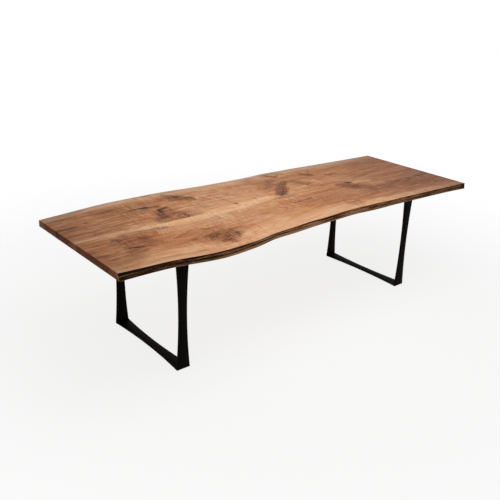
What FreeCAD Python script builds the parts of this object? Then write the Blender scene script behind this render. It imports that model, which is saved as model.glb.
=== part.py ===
import FreeCAD
import Part
import math
import os

# A long dining table: two live-edge planks, edge-glued, on two frames of waisted flat steel.
# Lengths are in millimetres. X runs along the planks, Y across them with the front at -Y, Z up.
# The origin is on the floor, under the middle of the top.

# Overall sizes
table_length = 2800.0
table_width = 1062.0  # over the widest bulges of the two live edges
table_height = 750.0

# Planks
plank_thickness = 40.0
glue_line_y = 14.0  # the straight joint between the planks, from the middle of the width
ridge_height = 3.0  # how far ridges stand out of a live edge, and its grooves lie in

# Live edges, from the left end to the right: place along the length as a share of it, then
# how far the upper and the lower arris reach from the middle, as shares of half the width.
front_edge_shares = (
    (-0.500, 0.852, 0.883),
    (-0.421, 0.881, 0.888),
    (-0.379, 0.904, 0.909),
    (-0.336, 0.950, 0.957),
    (-0.279, 0.979, 0.998),
    (-0.232, 0.973, 0.984),
    (-0.186, 0.951, 0.952),
    (-0.143, 0.908, 0.902),
    (-0.093, 0.888, 0.889),
    (-0.036, 0.859, 0.866),
    (0.007, 0.857, 0.853),
    (0.057, 0.840, 0.847),
    (0.118, 0.835, 0.839),
    (0.164, 0.848, 0.862),
    (0.229, 0.868, 0.871),
    (0.321, 0.896, 0.894),
    (0.429, 0.926, 0.925),
    (0.500, 0.958, 0.965),
)
rear_edge_shares = (
    (-0.500, 0.881, 0.887),
    (-0.439, 0.922, 0.929),
    (-0.393, 0.956, 0.967),
    (-0.336, 0.990, 0.988),
    (-0.300, 0.993, 0.989),
    (-0.250, 0.994, 0.992),
    (-0.200, 0.991, 0.994),
    (-0.143, 0.960, 0.970),
    (-0.082, 0.926, 0.939),
    (0.000, 0.907, 0.917),
    (0.054, 0.902, 0.908),
    (0.111, 0.918, 0.915),
    (0.154, 0.907, 0.911),
    (0.214, 0.893, 0.904),
    (0.286, 0.863, 0.876),
    (0.357, 0.838, 0.846),
    (0.429, 0.814, 0.819),
    (0.500, 0.798, 0.806),
)
# A live edge in section, from the underside up: height as a share of the plank's thickness,
# and how far it stands out as a share of ridge_height.
edge_section_shares = (
    (0.00, 0.0),
    (0.22, -0.6),
    (0.47, 1.0),
    (0.76, -1.0),
    (1.00, 0.0),
)

# Loose tenons, glued into mortises along the glue line
tenon_pitch = 280.0
tenon_width = 50.0
tenon_thickness = 10.0
tenon_length = 50.0
mortise_clearance = 0.1
mortise_end_gap = 1.0

# Frames of flat steel: two legs and a floor bar, mitred at the corners, under a top bar
end_overhang = 440.0  # from the end of the planks to the middle of a frame
frame_depth = 706.0  # over the outer faces of the legs
frame_offset_y = -12.0  # the frames stand on the middle of the mean width
plate_thickness = 10.0
corner_width = 90.0
waist_width = 55.0

# Bolts that hold each top bar to the planks, in slots across the grain
bolt_row_spacing = 50.0
bolt_row_count = 4  # bolts in each of the two rows
bolt_inset = 60.0  # from the outer face of a leg to the nearest bolt
slot_width = 9.0
slot_length = 20.0
bolt_diameter = 8.0
bolt_length = 25.0
bolt_head_diameter = 14.0
bolt_head_height = 4.4
bolt_socket_flats = 5.0
bolt_socket_depth = 2.5
washer_diameter = 24.0
washer_thickness = 2.0
washer_hole_diameter = 8.4
bolt_insert_diameter = 12.0
bolt_insert_length = 18.0

# Steel channels let into the underside across both planks, which keep the top flat
channel_end_margin = 144.0  # from the widest bulge of a live edge in to the end of a channel
channel_width = 40.0
channel_height = 12.0
channel_wall = 3.0
channel_recess = 0.5  # from the underside of the planks to the channel
groove_clearance = 0.5
channel_screw_count = 4
screw_inset = 70.0  # from the end of a channel to its nearest screw
screw_slot_width = 7.0
screw_slot_length = 16.0
screw_diameter = 6.0
screw_length = 14.0
screw_head_diameter = 13.0
screw_head_height = 3.4
screw_socket_flats = 4.0
screw_socket_depth = 1.9
screw_insert_diameter = 9.0
screw_insert_length = 12.0

# Both kinds of insert
thread_clearance = 0.05  # between a screw and its insert, on the radius
insert_clearance = 0.05  # between an insert and its hole, on the radius
insert_hole_extra_depth = 2.0

# Push-in glides under the ends of the floor bars
glide_height = 2.0
glide_diameter = 40.0
glide_chamfer = 1.0
glide_inset = 40.0  # from the outer face of a leg to the middle of the glide
glide_stem_diameter = 8.0
glide_stem_length = 6.0
glide_stem_clearance = 0.05

# One overrun for every cut that has to pass a face
cut_overrun = 5.0

# Places and lengths that follow from the sizes above
frame_spacing = table_length - 2 * end_overhang
channel_spacing = frame_spacing / 3  # the channels part the span between the frames in three
channel_length = table_width - 2 * channel_end_margin
plank_underside = table_height - plank_thickness
top_bar_underside = plank_underside - plate_thickness
frame_bottom = glide_height
channel_underside = plank_underside + channel_recess

front_side = -1
rear_side = 1


def vector(x, y, z):
    return FreeCAD.Vector(x, y, z)


def line(start, end):
    return Part.LineSegment(start, end).toShape()


def arc(start, middle, end):
    return Part.Arc(start, middle, end).toShape()


def both_ways(spacing):
    """The two places that lie a spacing apart, about zero."""
    return (-spacing / 2, spacing / 2)


def spread(count, span):
    """Evenly spaced places over a span, about zero."""
    return [(index / (count - 1) - 1 / 2) * span for index in range(count)]


def block(x_low, x_high, y_low, y_high, z_low, z_high):
    return Part.makeBox(x_high - x_low, y_high - y_low, z_high - z_low, vector(x_low, y_low, z_low))


def cylinder(x, y, z_low, diameter, height):
    return Part.makeCylinder(diameter / 2, height, vector(x, y, z_low))


def slot_prism(x, y, z_low, width, length, height):
    """A round-ended slot, long along Y."""
    radius = width / 2
    straight = (length - width) / 2
    edges = [
        line(vector(x + radius, y - straight, z_low), vector(x + radius, y + straight, z_low)),
        arc(
            vector(x + radius, y + straight, z_low),
            vector(x, y + straight + radius, z_low),
            vector(x - radius, y + straight, z_low),
        ),
        line(vector(x - radius, y + straight, z_low), vector(x - radius, y - straight, z_low)),
        arc(
            vector(x - radius, y - straight, z_low),
            vector(x, y - straight - radius, z_low),
            vector(x + radius, y - straight, z_low),
        ),
    ]
    return Part.Face(Part.Wire(edges)).extrude(vector(0, 0, height))


def hex_prism(x, y, z_low, across_flats, height):
    sides = 6
    corner_radius = across_flats / 2 / math.cos(math.pi / sides)
    corners = []
    for index in range(sides + 1):
        angle = 2 * math.pi * index / sides
        corners.append(
            vector(x + corner_radius * math.cos(angle), y + corner_radius * math.sin(angle), z_low)
        )
    return Part.Face(Part.makePolygon(corners)).extrude(vector(0, 0, height))


# Places of the fastenings

def bolt_places(frame_x):
    places = []
    for x in both_ways(bolt_row_spacing):
        for y in spread(bolt_row_count, frame_depth - 2 * bolt_inset):
            places.append((frame_x + x, frame_offset_y + y))
    return places


def screw_places():
    places = []
    for x in both_ways(channel_spacing):
        for y in spread(channel_screw_count, channel_length - 2 * screw_inset):
            places.append((x, y))
    return places


def tenon_places():
    count = int(table_length / tenon_pitch)
    return [(index - (count - 1) / 2) * tenon_pitch for index in range(count)]


def glide_places(frame_x):
    return {
        "front": (frame_x, frame_offset_y - frame_depth / 2 + glide_inset),
        "rear": (frame_x, frame_offset_y + frame_depth / 2 - glide_inset),
    }


# Planks

def plank_outline(edge_shares, side, height_share, ridge_share):
    """The plank's closed outline at one height: glue line, right end, live edge, left end."""
    height = plank_underside + height_share * plank_thickness
    live_points = []
    for along_share, upper_share, lower_share in edge_shares:
        reach_share = lower_share + (upper_share - lower_share) * height_share
        reach = reach_share * table_width / 2 + ridge_share * ridge_height
        live_points.append(vector(along_share * table_length, side * reach, height))
    live_edge = Part.BSplineCurve()
    live_edge.interpolate(live_points)
    left_joint = vector(live_points[0].x, glue_line_y, height)
    right_joint = vector(live_points[-1].x, glue_line_y, height)
    edges = [
        line(left_joint, right_joint),
        line(right_joint, live_points[-1]),
        live_edge.toShape(),
        line(live_points[0], left_joint),
    ]
    return Part.Wire(Part.__sortEdges__(edges))


def plank(edge_shares, side, cuts):
    outlines = []
    for height_share, ridge_share in edge_section_shares:
        outlines.append(plank_outline(edge_shares, side, height_share, ridge_share))
    solid = Part.makeLoft(outlines, True, True).removeSplitter()
    return solid.cut(cuts)


def plank_cuts():
    """Everything that is routed or drilled into the planks."""
    cuts = [mortise(x) for x in tenon_places()]
    for x in both_ways(channel_spacing):
        cuts.extend(channel_groove(x))
    for frame_x in both_ways(frame_spacing):
        for x, y in bolt_places(frame_x):
            cuts.append(insert_hole(x, y, plank_underside, bolt_insert_diameter, bolt_insert_length))
    for x, y in screw_places():
        bottom = channel_underside + channel_wall
        cuts.append(insert_hole(x, y, bottom, screw_insert_diameter, screw_insert_length))
    return cuts


def insert_hole(x, y, bottom, insert_diameter, insert_length):
    diameter = insert_diameter + 2 * insert_clearance
    depth = insert_length + insert_hole_extra_depth
    return cylinder(x, y, bottom - cut_overrun, diameter, depth + cut_overrun)


# Loose tenons

def tenon_prism(x, width, thickness, length):
    """A flat tenon with round edges that lies across the glue line, half way up the planks."""
    middle = plank_underside + plank_thickness / 2
    upright = slot_prism(0, 0, 0, thickness, width, length)
    upright.rotate(vector(0, 0, 0), vector(0, 0, 1), 90)
    upright.rotate(vector(0, 0, 0), vector(1, 0, 0), -90)
    upright.translate(vector(x, glue_line_y - length / 2, middle))
    return upright


def mortise(x):
    return tenon_prism(
        x,
        tenon_width + 2 * mortise_clearance,
        tenon_thickness + 2 * mortise_clearance,
        tenon_length + 2 * mortise_end_gap,
    )


def joint_tenons():
    tenons = [tenon_prism(x, tenon_width, tenon_thickness, tenon_length) for x in tenon_places()]
    return Part.makeCompound(tenons)


# Frames

def waisted_plate(start, along, thickness, length):
    """A plate from the middle of one end edge, corner_width at its ends and waist_width half way."""

    def point(side, width, share):
        return start + vector(side * width / 2, 0, 0) + along * (length * share)

    edges = [
        line(point(-1, corner_width, 0), point(1, corner_width, 0)),
        arc(point(1, corner_width, 0), point(1, waist_width, 1 / 2), point(1, corner_width, 1)),
        line(point(1, corner_width, 1), point(-1, corner_width, 1)),
        arc(point(-1, corner_width, 1), point(-1, waist_width, 1 / 2), point(-1, corner_width, 0)),
    ]
    return Part.Face(Part.Wire(edges)).extrude(thickness)


def section_prism(frame_x, section):
    """A section in Y and Z, drawn out across the frame's whole width."""
    start = frame_x - corner_width / 2 - cut_overrun
    corners = [vector(start, y, z) for y, z in section]
    face = Part.Face(Part.makePolygon(corners + corners[:1]))
    return face.extrude(vector(corner_width + 2 * cut_overrun, 0, 0))


def leg(frame_x, side):
    outer = frame_offset_y + side * frame_depth / 2
    inner = outer - side * plate_thickness
    plate = waisted_plate(
        vector(frame_x, outer, frame_bottom),
        vector(0, 0, 1),
        vector(0, inner - outer, 0),
        top_bar_underside - frame_bottom,
    )
    mitred = section_prism(
        frame_x,
        (
            (outer, frame_bottom),
            (outer, top_bar_underside),
            (inner, top_bar_underside),
            (inner, frame_bottom + plate_thickness),
        ),
    )
    return plate.common(mitred)


def floor_bar(frame_x):
    front = frame_offset_y - frame_depth / 2
    rear = frame_offset_y + frame_depth / 2
    top = frame_bottom + plate_thickness
    plate = waisted_plate(
        vector(frame_x, front, frame_bottom),
        vector(0, 1, 0),
        vector(0, 0, plate_thickness),
        frame_depth,
    )
    mitred = section_prism(
        frame_x,
        (
            (front, frame_bottom),
            (rear, frame_bottom),
            (rear - plate_thickness, top),
            (front + plate_thickness, top),
        ),
    )
    hole_diameter = glide_stem_diameter + 2 * glide_stem_clearance
    hole_depth = glide_stem_length + glide_stem_clearance
    holes = []
    for x, y in glide_places(frame_x).values():
        holes.append(cylinder(x, y, frame_bottom, hole_diameter, hole_depth))
    return plate.common(mitred).cut(holes)


def top_bar(frame_x):
    bar = block(
        frame_x - corner_width / 2,
        frame_x + corner_width / 2,
        frame_offset_y - frame_depth / 2,
        frame_offset_y + frame_depth / 2,
        top_bar_underside,
        plank_underside,
    )
    slots = []
    for x, y in bolt_places(frame_x):
        low = top_bar_underside - cut_overrun
        slots.append(
            slot_prism(x, y, low, slot_width, slot_length, plate_thickness + 2 * cut_overrun)
        )
    return bar.cut(slots)


# Fastenings

def socket_screw(x, y, seat, diameter, length, head_diameter, head_height, flats, depth):
    """A socket-head screw that points up, with its head under the seat."""
    head_bottom = seat - head_height
    head = cylinder(x, y, head_bottom, head_diameter, head_height)
    shank = cylinder(x, y, seat, diameter, length)
    return head.fuse(shank).removeSplitter().cut(hex_prism(x, y, head_bottom, flats, depth))


def frame_bolts(frame_x):
    bolts = []
    for x, y in bolt_places(frame_x):
        bolts.append(
            socket_screw(
                x,
                y,
                top_bar_underside - washer_thickness,
                bolt_diameter,
                bolt_length,
                bolt_head_diameter,
                bolt_head_height,
                bolt_socket_flats,
                bolt_socket_depth,
            )
        )
    return Part.makeCompound(bolts)


def frame_washers(frame_x):
    washers = []
    for x, y in bolt_places(frame_x):
        bottom = top_bar_underside - washer_thickness
        washer = cylinder(x, y, bottom, washer_diameter, washer_thickness)
        washers.append(washer.cut(cylinder(x, y, bottom, washer_hole_diameter, washer_thickness)))
    return Part.makeCompound(washers)


def threaded_insert(x, y, bottom, diameter, length, screw_size):
    bore = screw_size + 2 * thread_clearance
    return cylinder(x, y, bottom, diameter, length).cut(cylinder(x, y, bottom, bore, length))


def frame_inserts(frame_x):
    inserts = []
    for x, y in bolt_places(frame_x):
        inserts.append(
            threaded_insert(
                x, y, plank_underside, bolt_insert_diameter, bolt_insert_length, bolt_diameter
            )
        )
    return Part.makeCompound(inserts)


# Channels

def channel_groove(x):
    """A shallow pocket for the web and two deeper slots for the flanges."""
    half_width = channel_width / 2 + groove_clearance
    half_length = channel_length / 2 + groove_clearance
    low = plank_underside - cut_overrun
    flange_top = channel_underside + channel_height + groove_clearance
    slot_reach = channel_wall + 2 * groove_clearance
    return [
        block(
            x - half_width,
            x + half_width,
            -half_length,
            half_length,
            low,
            channel_underside + channel_wall,
        ),
        block(x - half_width, x - half_width + slot_reach, -half_length, half_length, low, flange_top),
        block(x + half_width - slot_reach, x + half_width, -half_length, half_length, low, flange_top),
    ]


def channel(x):
    half_width = channel_width / 2
    half_length = channel_length / 2
    top = channel_underside + channel_height
    bar = block(x - half_width, x + half_width, -half_length, half_length, channel_underside, top)
    hollow = block(
        x - half_width + channel_wall,
        x + half_width - channel_wall,
        -half_length,
        half_length,
        channel_underside + channel_wall,
        top,
    )
    slots = []
    for screw_x, screw_y in screw_places():
        if screw_x == x:
            slots.append(
                slot_prism(
                    x,
                    screw_y,
                    channel_underside,
                    screw_slot_width,
                    screw_slot_length,
                    channel_wall,
                )
            )
    return bar.cut([hollow] + slots)


def channel_screws():
    screws = []
    for x, y in screw_places():
        screws.append(
            socket_screw(
                x,
                y,
                channel_underside,
                screw_diameter,
                screw_length,
                screw_head_diameter,
                screw_head_height,
                screw_socket_flats,
                screw_socket_depth,
            )
        )
    return Part.makeCompound(screws)


def channel_inserts():
    inserts = []
    for x, y in screw_places():
        bottom = channel_underside + channel_wall
        inserts.append(
            threaded_insert(
                x, y, bottom, screw_insert_diameter, screw_insert_length, screw_diameter
            )
        )
    return Part.makeCompound(inserts)


# Glides

def glide(x, y):
    radius = glide_diameter / 2
    foot = Part.makeCone(
        radius - glide_chamfer, radius, glide_chamfer, vector(x, y, frame_bottom - glide_height)
    )
    pad_low = frame_bottom - glide_height + glide_chamfer
    pad = cylinder(x, y, pad_low, glide_diameter, glide_height - glide_chamfer)
    stem = cylinder(x, y, frame_bottom, glide_stem_diameter, glide_stem_length)
    return foot.fuse([pad, stem]).removeSplitter()


def all_nodes():
    cuts = plank_cuts()
    left_channel_x, right_channel_x = both_ways(channel_spacing)
    nodes = {
        "front_plank": plank(front_edge_shares, front_side, cuts),
        "rear_plank": plank(rear_edge_shares, rear_side, cuts),
        "joint_tenons": joint_tenons(),
        "left_channel": channel(left_channel_x),
        "right_channel": channel(right_channel_x),
        "channel_screws": channel_screws(),
        "channel_inserts": channel_inserts(),
    }
    for name, frame_x in zip(("left_frame", "right_frame"), both_ways(frame_spacing)):
        nodes[name + "_front_leg"] = leg(frame_x, front_side)
        nodes[name + "_rear_leg"] = leg(frame_x, rear_side)
        nodes[name + "_floor_bar"] = floor_bar(frame_x)
        nodes[name + "_top_bar"] = top_bar(frame_x)
        nodes[name + "_bolts"] = frame_bolts(frame_x)
        nodes[name + "_washers"] = frame_washers(frame_x)
        nodes[name + "_inserts"] = frame_inserts(frame_x)
        for end, (x, y) in glide_places(frame_x).items():
            nodes[name + "_" + end + "_glide"] = glide(x, y)
    return nodes


os.makedirs("parts", exist_ok=True)
for node_name, shape in all_nodes().items():
    print(node_name, "solids", len(shape.Solids), "volume", round(shape.Volume), "valid", shape.isValid())
    shape.exportStep(os.path.join("parts", node_name + ".step"))
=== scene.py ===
import math

import bmesh
import bpy
import numpy as np
from mathutils import Matrix, Vector, noise


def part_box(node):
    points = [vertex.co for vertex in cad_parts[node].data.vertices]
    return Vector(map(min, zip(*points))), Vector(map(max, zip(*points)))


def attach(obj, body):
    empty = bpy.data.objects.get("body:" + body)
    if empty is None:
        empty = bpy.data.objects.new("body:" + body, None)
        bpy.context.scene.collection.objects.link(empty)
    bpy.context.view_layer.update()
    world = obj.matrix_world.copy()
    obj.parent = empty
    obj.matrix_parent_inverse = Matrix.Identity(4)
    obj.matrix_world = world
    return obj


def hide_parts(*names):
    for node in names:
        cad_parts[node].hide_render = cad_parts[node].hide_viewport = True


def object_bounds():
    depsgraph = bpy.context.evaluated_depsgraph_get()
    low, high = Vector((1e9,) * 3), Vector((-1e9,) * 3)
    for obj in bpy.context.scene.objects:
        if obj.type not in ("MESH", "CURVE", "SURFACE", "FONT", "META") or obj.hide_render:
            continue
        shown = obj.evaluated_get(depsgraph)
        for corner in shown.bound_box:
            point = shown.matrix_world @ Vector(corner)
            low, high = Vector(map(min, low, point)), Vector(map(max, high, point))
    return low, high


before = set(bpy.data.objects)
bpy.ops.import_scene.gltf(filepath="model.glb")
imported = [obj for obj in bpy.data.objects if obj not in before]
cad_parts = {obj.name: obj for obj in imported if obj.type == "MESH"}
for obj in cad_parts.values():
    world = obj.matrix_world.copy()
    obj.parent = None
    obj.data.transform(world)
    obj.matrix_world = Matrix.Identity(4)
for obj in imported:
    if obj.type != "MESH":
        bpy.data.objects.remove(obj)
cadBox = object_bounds()  # before any piece is dressed
scene = bpy.context.scene
mm = 0.001            # metres
sameSpot = 0.01 * mm  # vertices closer than this are one
noiseMiddle = 0.5     # the value that a noise texture swings about
body = "root"
print("frame:", len(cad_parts), "nodes")


# An sRGB hex colour as linear RGBA
def linear(hexText):
    parts = [int(hexText[at:at + 2], 16) / 255 for at in (1, 3, 5)]
    return tuple(c / 12.92 if c <= 0.04045 else ((c + 0.055) / 1.055) ** 2.4 for c in parts) + (1.0,)


def addNode(tree, kind, inputs=(), output=0, stops=(), points=(), **settings):
    made = tree.nodes.new(kind)
    for name, value in settings.items():
        setattr(made, name, value)
    for key, value in inputs.items() if isinstance(inputs, dict) else enumerate(inputs):
        if isinstance(value, bpy.types.NodeSocket):
            tree.links.new(value, made.inputs[key])
        else:
            made.inputs[key].default_value = value
    for at, colour in stops[1:-1]:
        made.color_ramp.elements.new(at)
    for element, (at, colour) in zip(made.color_ramp.elements if stops else (), stops):
        element.position = at
        element.color = linear(colour)
    for at, value in points[1:-1]:
        made.mapping.curves[0].points.new(at, value)
    for knot, place in zip(made.mapping.curves[0].points if points else (), points):
        knot.location = place
    if points:
        made.mapping.update()
    return made.outputs[output] if made.outputs else made


def newGroup(name, kind, inputs, outputs):
    tree = bpy.data.node_groups.new(name, kind)
    for side, sockets in (("INPUT", inputs), ("OUTPUT", outputs)):
        for socket, socketKind in sockets.items():
            tree.interface.new_socket(name=socket, in_out=side, socket_type="NodeSocket" + socketKind)
    return tree, tree.nodes.new("NodeGroupInput").outputs


def newMaterial(name, **sockets):
    material = bpy.data.materials.new(name)
    material.use_nodes = True
    shader = material.node_tree.nodes["Principled BSDF"]
    for socket, value in sockets.items():
        shader.inputs[socket.replace("_", " ")].default_value = value
    return material, material.node_tree, shader


def feedShader(tree, shader, **sockets):
    for socket, value in sockets.items():
        tree.links.new(value, shader.inputs[socket.replace("_", " ")])


def placeInMm(tree):
    place = addNode(tree, "ShaderNodeTexCoord", output="Object")
    return addNode(tree, "ShaderNodeVectorMath", (place, (mm, mm, mm)), operation="DIVIDE")


# The unevenness of each pattern on a surface, from its real size, its detail and its roughness
def surfacePatterns(tree, place, patterns, dimensions="3D"):
    noises = {}
    for pattern, (size, detail, rough) in patterns.items():
        cell = addNode(tree, "ShaderNodeVectorMath", (place, size), operation="DIVIDE")
        noises[pattern] = addNode(tree, "ShaderNodeTexNoise", {
            "Vector": cell, "Scale": 1.0, "Detail": detail, "Roughness": rough}, noise_dimensions=dimensions)
    return noises


def addPiece(name, mesh, replaced, slot, *materials):
    piece = bpy.data.objects.new(name, mesh)
    scene.collection.objects.link(piece)
    for material in materials:
        mesh.materials.append(material)
    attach(piece, body)
    if replaced:
        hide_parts(*replaced)


# Round shading, with a crisp line where faces meet at more than the angle in degrees
def smoothFaces(mesh, sharpAngle):
    mesh.shade_smooth()
    mesh.set_sharp_from_angle(angle=math.radians(sharpAngle))


# Camera at the photo's viewpoint
cameraView = {
    "place": (-2.8493, -3.1652, 2.1364),
    "yaw": 40.113,    # degrees from +Y towards +X
    "pitch": 22.403,  # degrees down
    "roll": 1.914,
    "sensor": 36.0,
    "lens": 49.09,    # mm on that sensor's width
    "reach": 400.0,
}

camera = bpy.data.objects.new("camera", bpy.data.cameras.new("camera"))
scene.collection.objects.link(camera)
camera.data.sensor_width = cameraView["sensor"]
camera.data.lens = cameraView["lens"]
camera.data.clip_end = cameraView["reach"]
camera.matrix_world = (
    Matrix.Translation(cameraView["place"])
    @ Matrix.Rotation(-math.radians(cameraView["yaw"]), 4, "Z")
    @ Matrix.Rotation(math.radians(90 - cameraView["pitch"]), 4, "X")
    @ Matrix.Rotation(math.radians(cameraView["roll"]), 4, "Z")
)
scene.camera = camera
scene.view_settings.view_transform = "Standard"

# Studio: white surround, pale floor, one broad lamp over the table and a weak fill
studio = {
    "floorHalf": 150.0,
    "floorColour": "#f4f3f1",
    "floorGlow": 0.82,       # share of the floor that shows as plain white
    "glowStart": 1.2,        # metres from the middle, beyond which the floor fades to white
    "glowEnd": 3.6,
    "ambient": 0.44,
    "lamps": {  # place, aim, size and watts
        "overhead": ((-0.1, -0.6, 2.55), (-0.05, -0.15, 0.75), (2.0, 1.4), 25),
        "fill": ((-3.2, -2.6, 1.7), (0.0, 0.0, 0.6), (1.6, 1.6), 10),
    },
}

for lampName, (place, aim, size, watts) in studio["lamps"].items():
    lamp = bpy.data.lights.new(lampName, "AREA")
    lamp.shape = "RECTANGLE"
    lamp.size, lamp.size_y = size
    lamp.energy = watts
    lampObject = bpy.data.objects.new(lampName, lamp)
    scene.collection.objects.link(lampObject)
    lampObject.location = place
    lampObject.rotation_euler = (Vector(aim) - Vector(place)).to_track_quat("-Z", "Y").to_euler()


# 1 for the rays that show the background, 0 for those that only light the table
def seenRays(tree):
    rays = addNode(tree, "ShaderNodeLightPath").node.outputs
    seen = rays["Is Camera Ray"]
    for kind in ("Is Glossy Ray", "Is Transmission Ray"):
        seen = addNode(tree, "ShaderNodeMath", (seen, rays[kind]), operation="MAXIMUM")
    return seen


world = bpy.data.worlds.new("surround")
world.use_nodes = True
scene.world = world
skyTree = world.node_tree
skyTree.nodes.clear()
level = addNode(skyTree, "ShaderNodeMapRange", {
    "Value": seenRays(skyTree), "To Min": studio["ambient"], "To Max": 1.0})
sky = addNode(skyTree, "ShaderNodeBackground", {"Color": (1, 1, 1, 1), "Strength": level})
addNode(skyTree, "ShaderNodeOutputWorld", {"Surface": sky})

# Matt paper floor: shades softly under the table and runs out to white
paper, floorTree, floorShader = newMaterial("paper floor", Roughness=0.9, Specular_IOR_Level=0.0)
floorShader.inputs["Base Color"].default_value = linear(studio["floorColour"])
floorPlace = addNode(floorTree, "ShaderNodeTexCoord", output="Object")
floorReach = addNode(floorTree, "ShaderNodeVectorMath", (floorPlace,), operation="LENGTH", output="Value")
glow = addNode(floorTree, "ShaderNodeMapRange", {
    "Value": floorReach, "From Min": studio["glowStart"], "From Max": studio["glowEnd"],
    "To Min": studio["floorGlow"], "To Max": 1.0}, interpolation_type="SMOOTHSTEP")
glow = addNode(floorTree, "ShaderNodeMath", (glow, seenRays(floorTree)), operation="MULTIPLY")
white = addNode(floorTree, "ShaderNodeEmission", {"Color": (1, 1, 1, 1), "Strength": 1.0})
surface = addNode(floorTree, "ShaderNodeMixShader", (glow, floorShader.outputs[0], white))
floorTree.links.new(surface, floorTree.nodes["Material Output"].inputs["Surface"])
half = studio["floorHalf"]
corners = [(-half, -half, 0), (half, -half, 0), (half, half, 0), (-half, half, 0)]
floorMesh = bpy.data.meshes.new("floor")
floorMesh.from_pydata(corners, [], [(0, 1, 2, 3)])
floorMesh.materials.append(paper)
floor = bpy.data.objects.new("floor", floorMesh)
scene.collection.objects.link(floor)
print("studio: camera, floor and", len(studio["lamps"]), "lamps")

# Oiled walnut boards, sizes and places in mm in the table's frame
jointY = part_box("front_plank")[1].y / mm
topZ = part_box("front_plank")[1].z / mm
tableX = cadBox[1].x / mm
walnut = {
    "boardWidth": 500,                # a nominal board, joint to live edge
    "palette": {  # marks lie over each other in this order
        # the grey sap tone is partly the rear sapwood's own colour and partly painted sheen
        "jointPale": "#e6ba92", "pale": "#d9ab84", "sap": "#deb08a", "greySap": "#cbaa8e",
        "plum": "#8a5e4a", "rust": "#b06a38", "brown": "#7d4e31", "tongue": "#d9ab84",
        "knotBrown": "#6a432b", "greyBrown": "#6d5241", "knotDark": "#3d2415",
    },
    "heart": ((0.24, "#915a37"), (0.40, "#b37a52"), (0.56, "#c68e63"), (0.76, "#daa87b")),
    # size of each pattern along the grain, across it and in depth, its detail and roughness
    "softPatterns": {
        "sway": ((650, 170, 260), 2.0, 0.5),
        "streak": ((300, 30, 24), 5.0, 0.65),
        "swirl": ((90, 45, 60), 2.0, 0.5),
        "blotch": ((70, 26, 30), 4.0, 0.6),
        "mask": ((330, 190, 300), 2.0, 0.5),
    },
    "finePatterns": {
        "fibre": ((110, 11, 9), 6.0, 0.72),
        "pore": ((16, 1.3, 1.3), 1.0, 0.5),  # drawn coarser than real pores so that they show
    },
    "ringPatterns": {  # size across the rings and along the board
        "band": ((60, 1500, 1), 4.0, 0.6),
        "crowd": ((46, 2600, 1), 1.0, 0.5),
        "line": ((21, 900, 1), 2.0, 0.5),
    },
    "curlPattern": ((12, 95, 40), 2.0, 0.55), "curlTurn": math.radians(6),
    # how strong the cross-grain curl is, over the length from left to right
    "curlRun": ((0, 0.10), (0.10, 0.30), (0.2, 0.9), (0.35, 1.0), (0.55, 0.9), (0.7, 0.55), (1, 0.30)),
    "swayReach": 46, "swirlReach": (44, 24, 0),  # how far they bend the grain and the marks
    "feather": 2.2,                   # how far a mark's outline runs out along the grain, in radii
    "uneven": 2.0,                    # how far blotches move that outline, in radii
    "markReach": {"push": (3.0, 1.6, 1.0), "shade": (4.5, 1.2, 1.0)},  # along, across and up, in radii
    "pushTurn": 0.3,                  # how soon the push changes sides over the mark's axis, in radii
    "knotSlant": (0.9, 0.6, 0),       # how far a mark moves sideways on its way down through the board
    "ringWidth": 7.0, "knotRings": 2.8,   # mm from ring to ring, and rings within a knot's radius
    "crowdYears": 5.0,                # how many rings the crowding moves the lines
    "lateFrom": 0.35,                 # share of a ring before its dark line sets in
    "pithWave": 900, "pithDip": 90,   # length and depth of the pith's bends
    # noise value at which each starts and is full
    "lineRange": (0.3, 0.7), "poreRange": (0.57, 0.68), "curlRange": (0.32, 0.62),
    "sapFull": 130,                   # width that a sapwood curve value of 1 stands for
    "sapBorder": (16, -20),           # from clear heartwood to full sapwood, outwards of that width
    "sapCover": 0.8,
    "jointRagged": 80, "edgeRagged": 40,  # how far streaks fray the sapwood's border
    # how much each pattern deepens the colour
    "streakDepth": 0.75, "curlDepth": 1.5, "shadeDepth": 0.18, "lateDepth": 0.38, "knotDepth": 1.0,
    "fibreDepth": 0.75, "poreDepth": 0.5,
    "faceRough": (0.52, 0.68), "faceBump": (0.25, 0.4 * mm), "poreRelief": 0.6,
}

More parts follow.
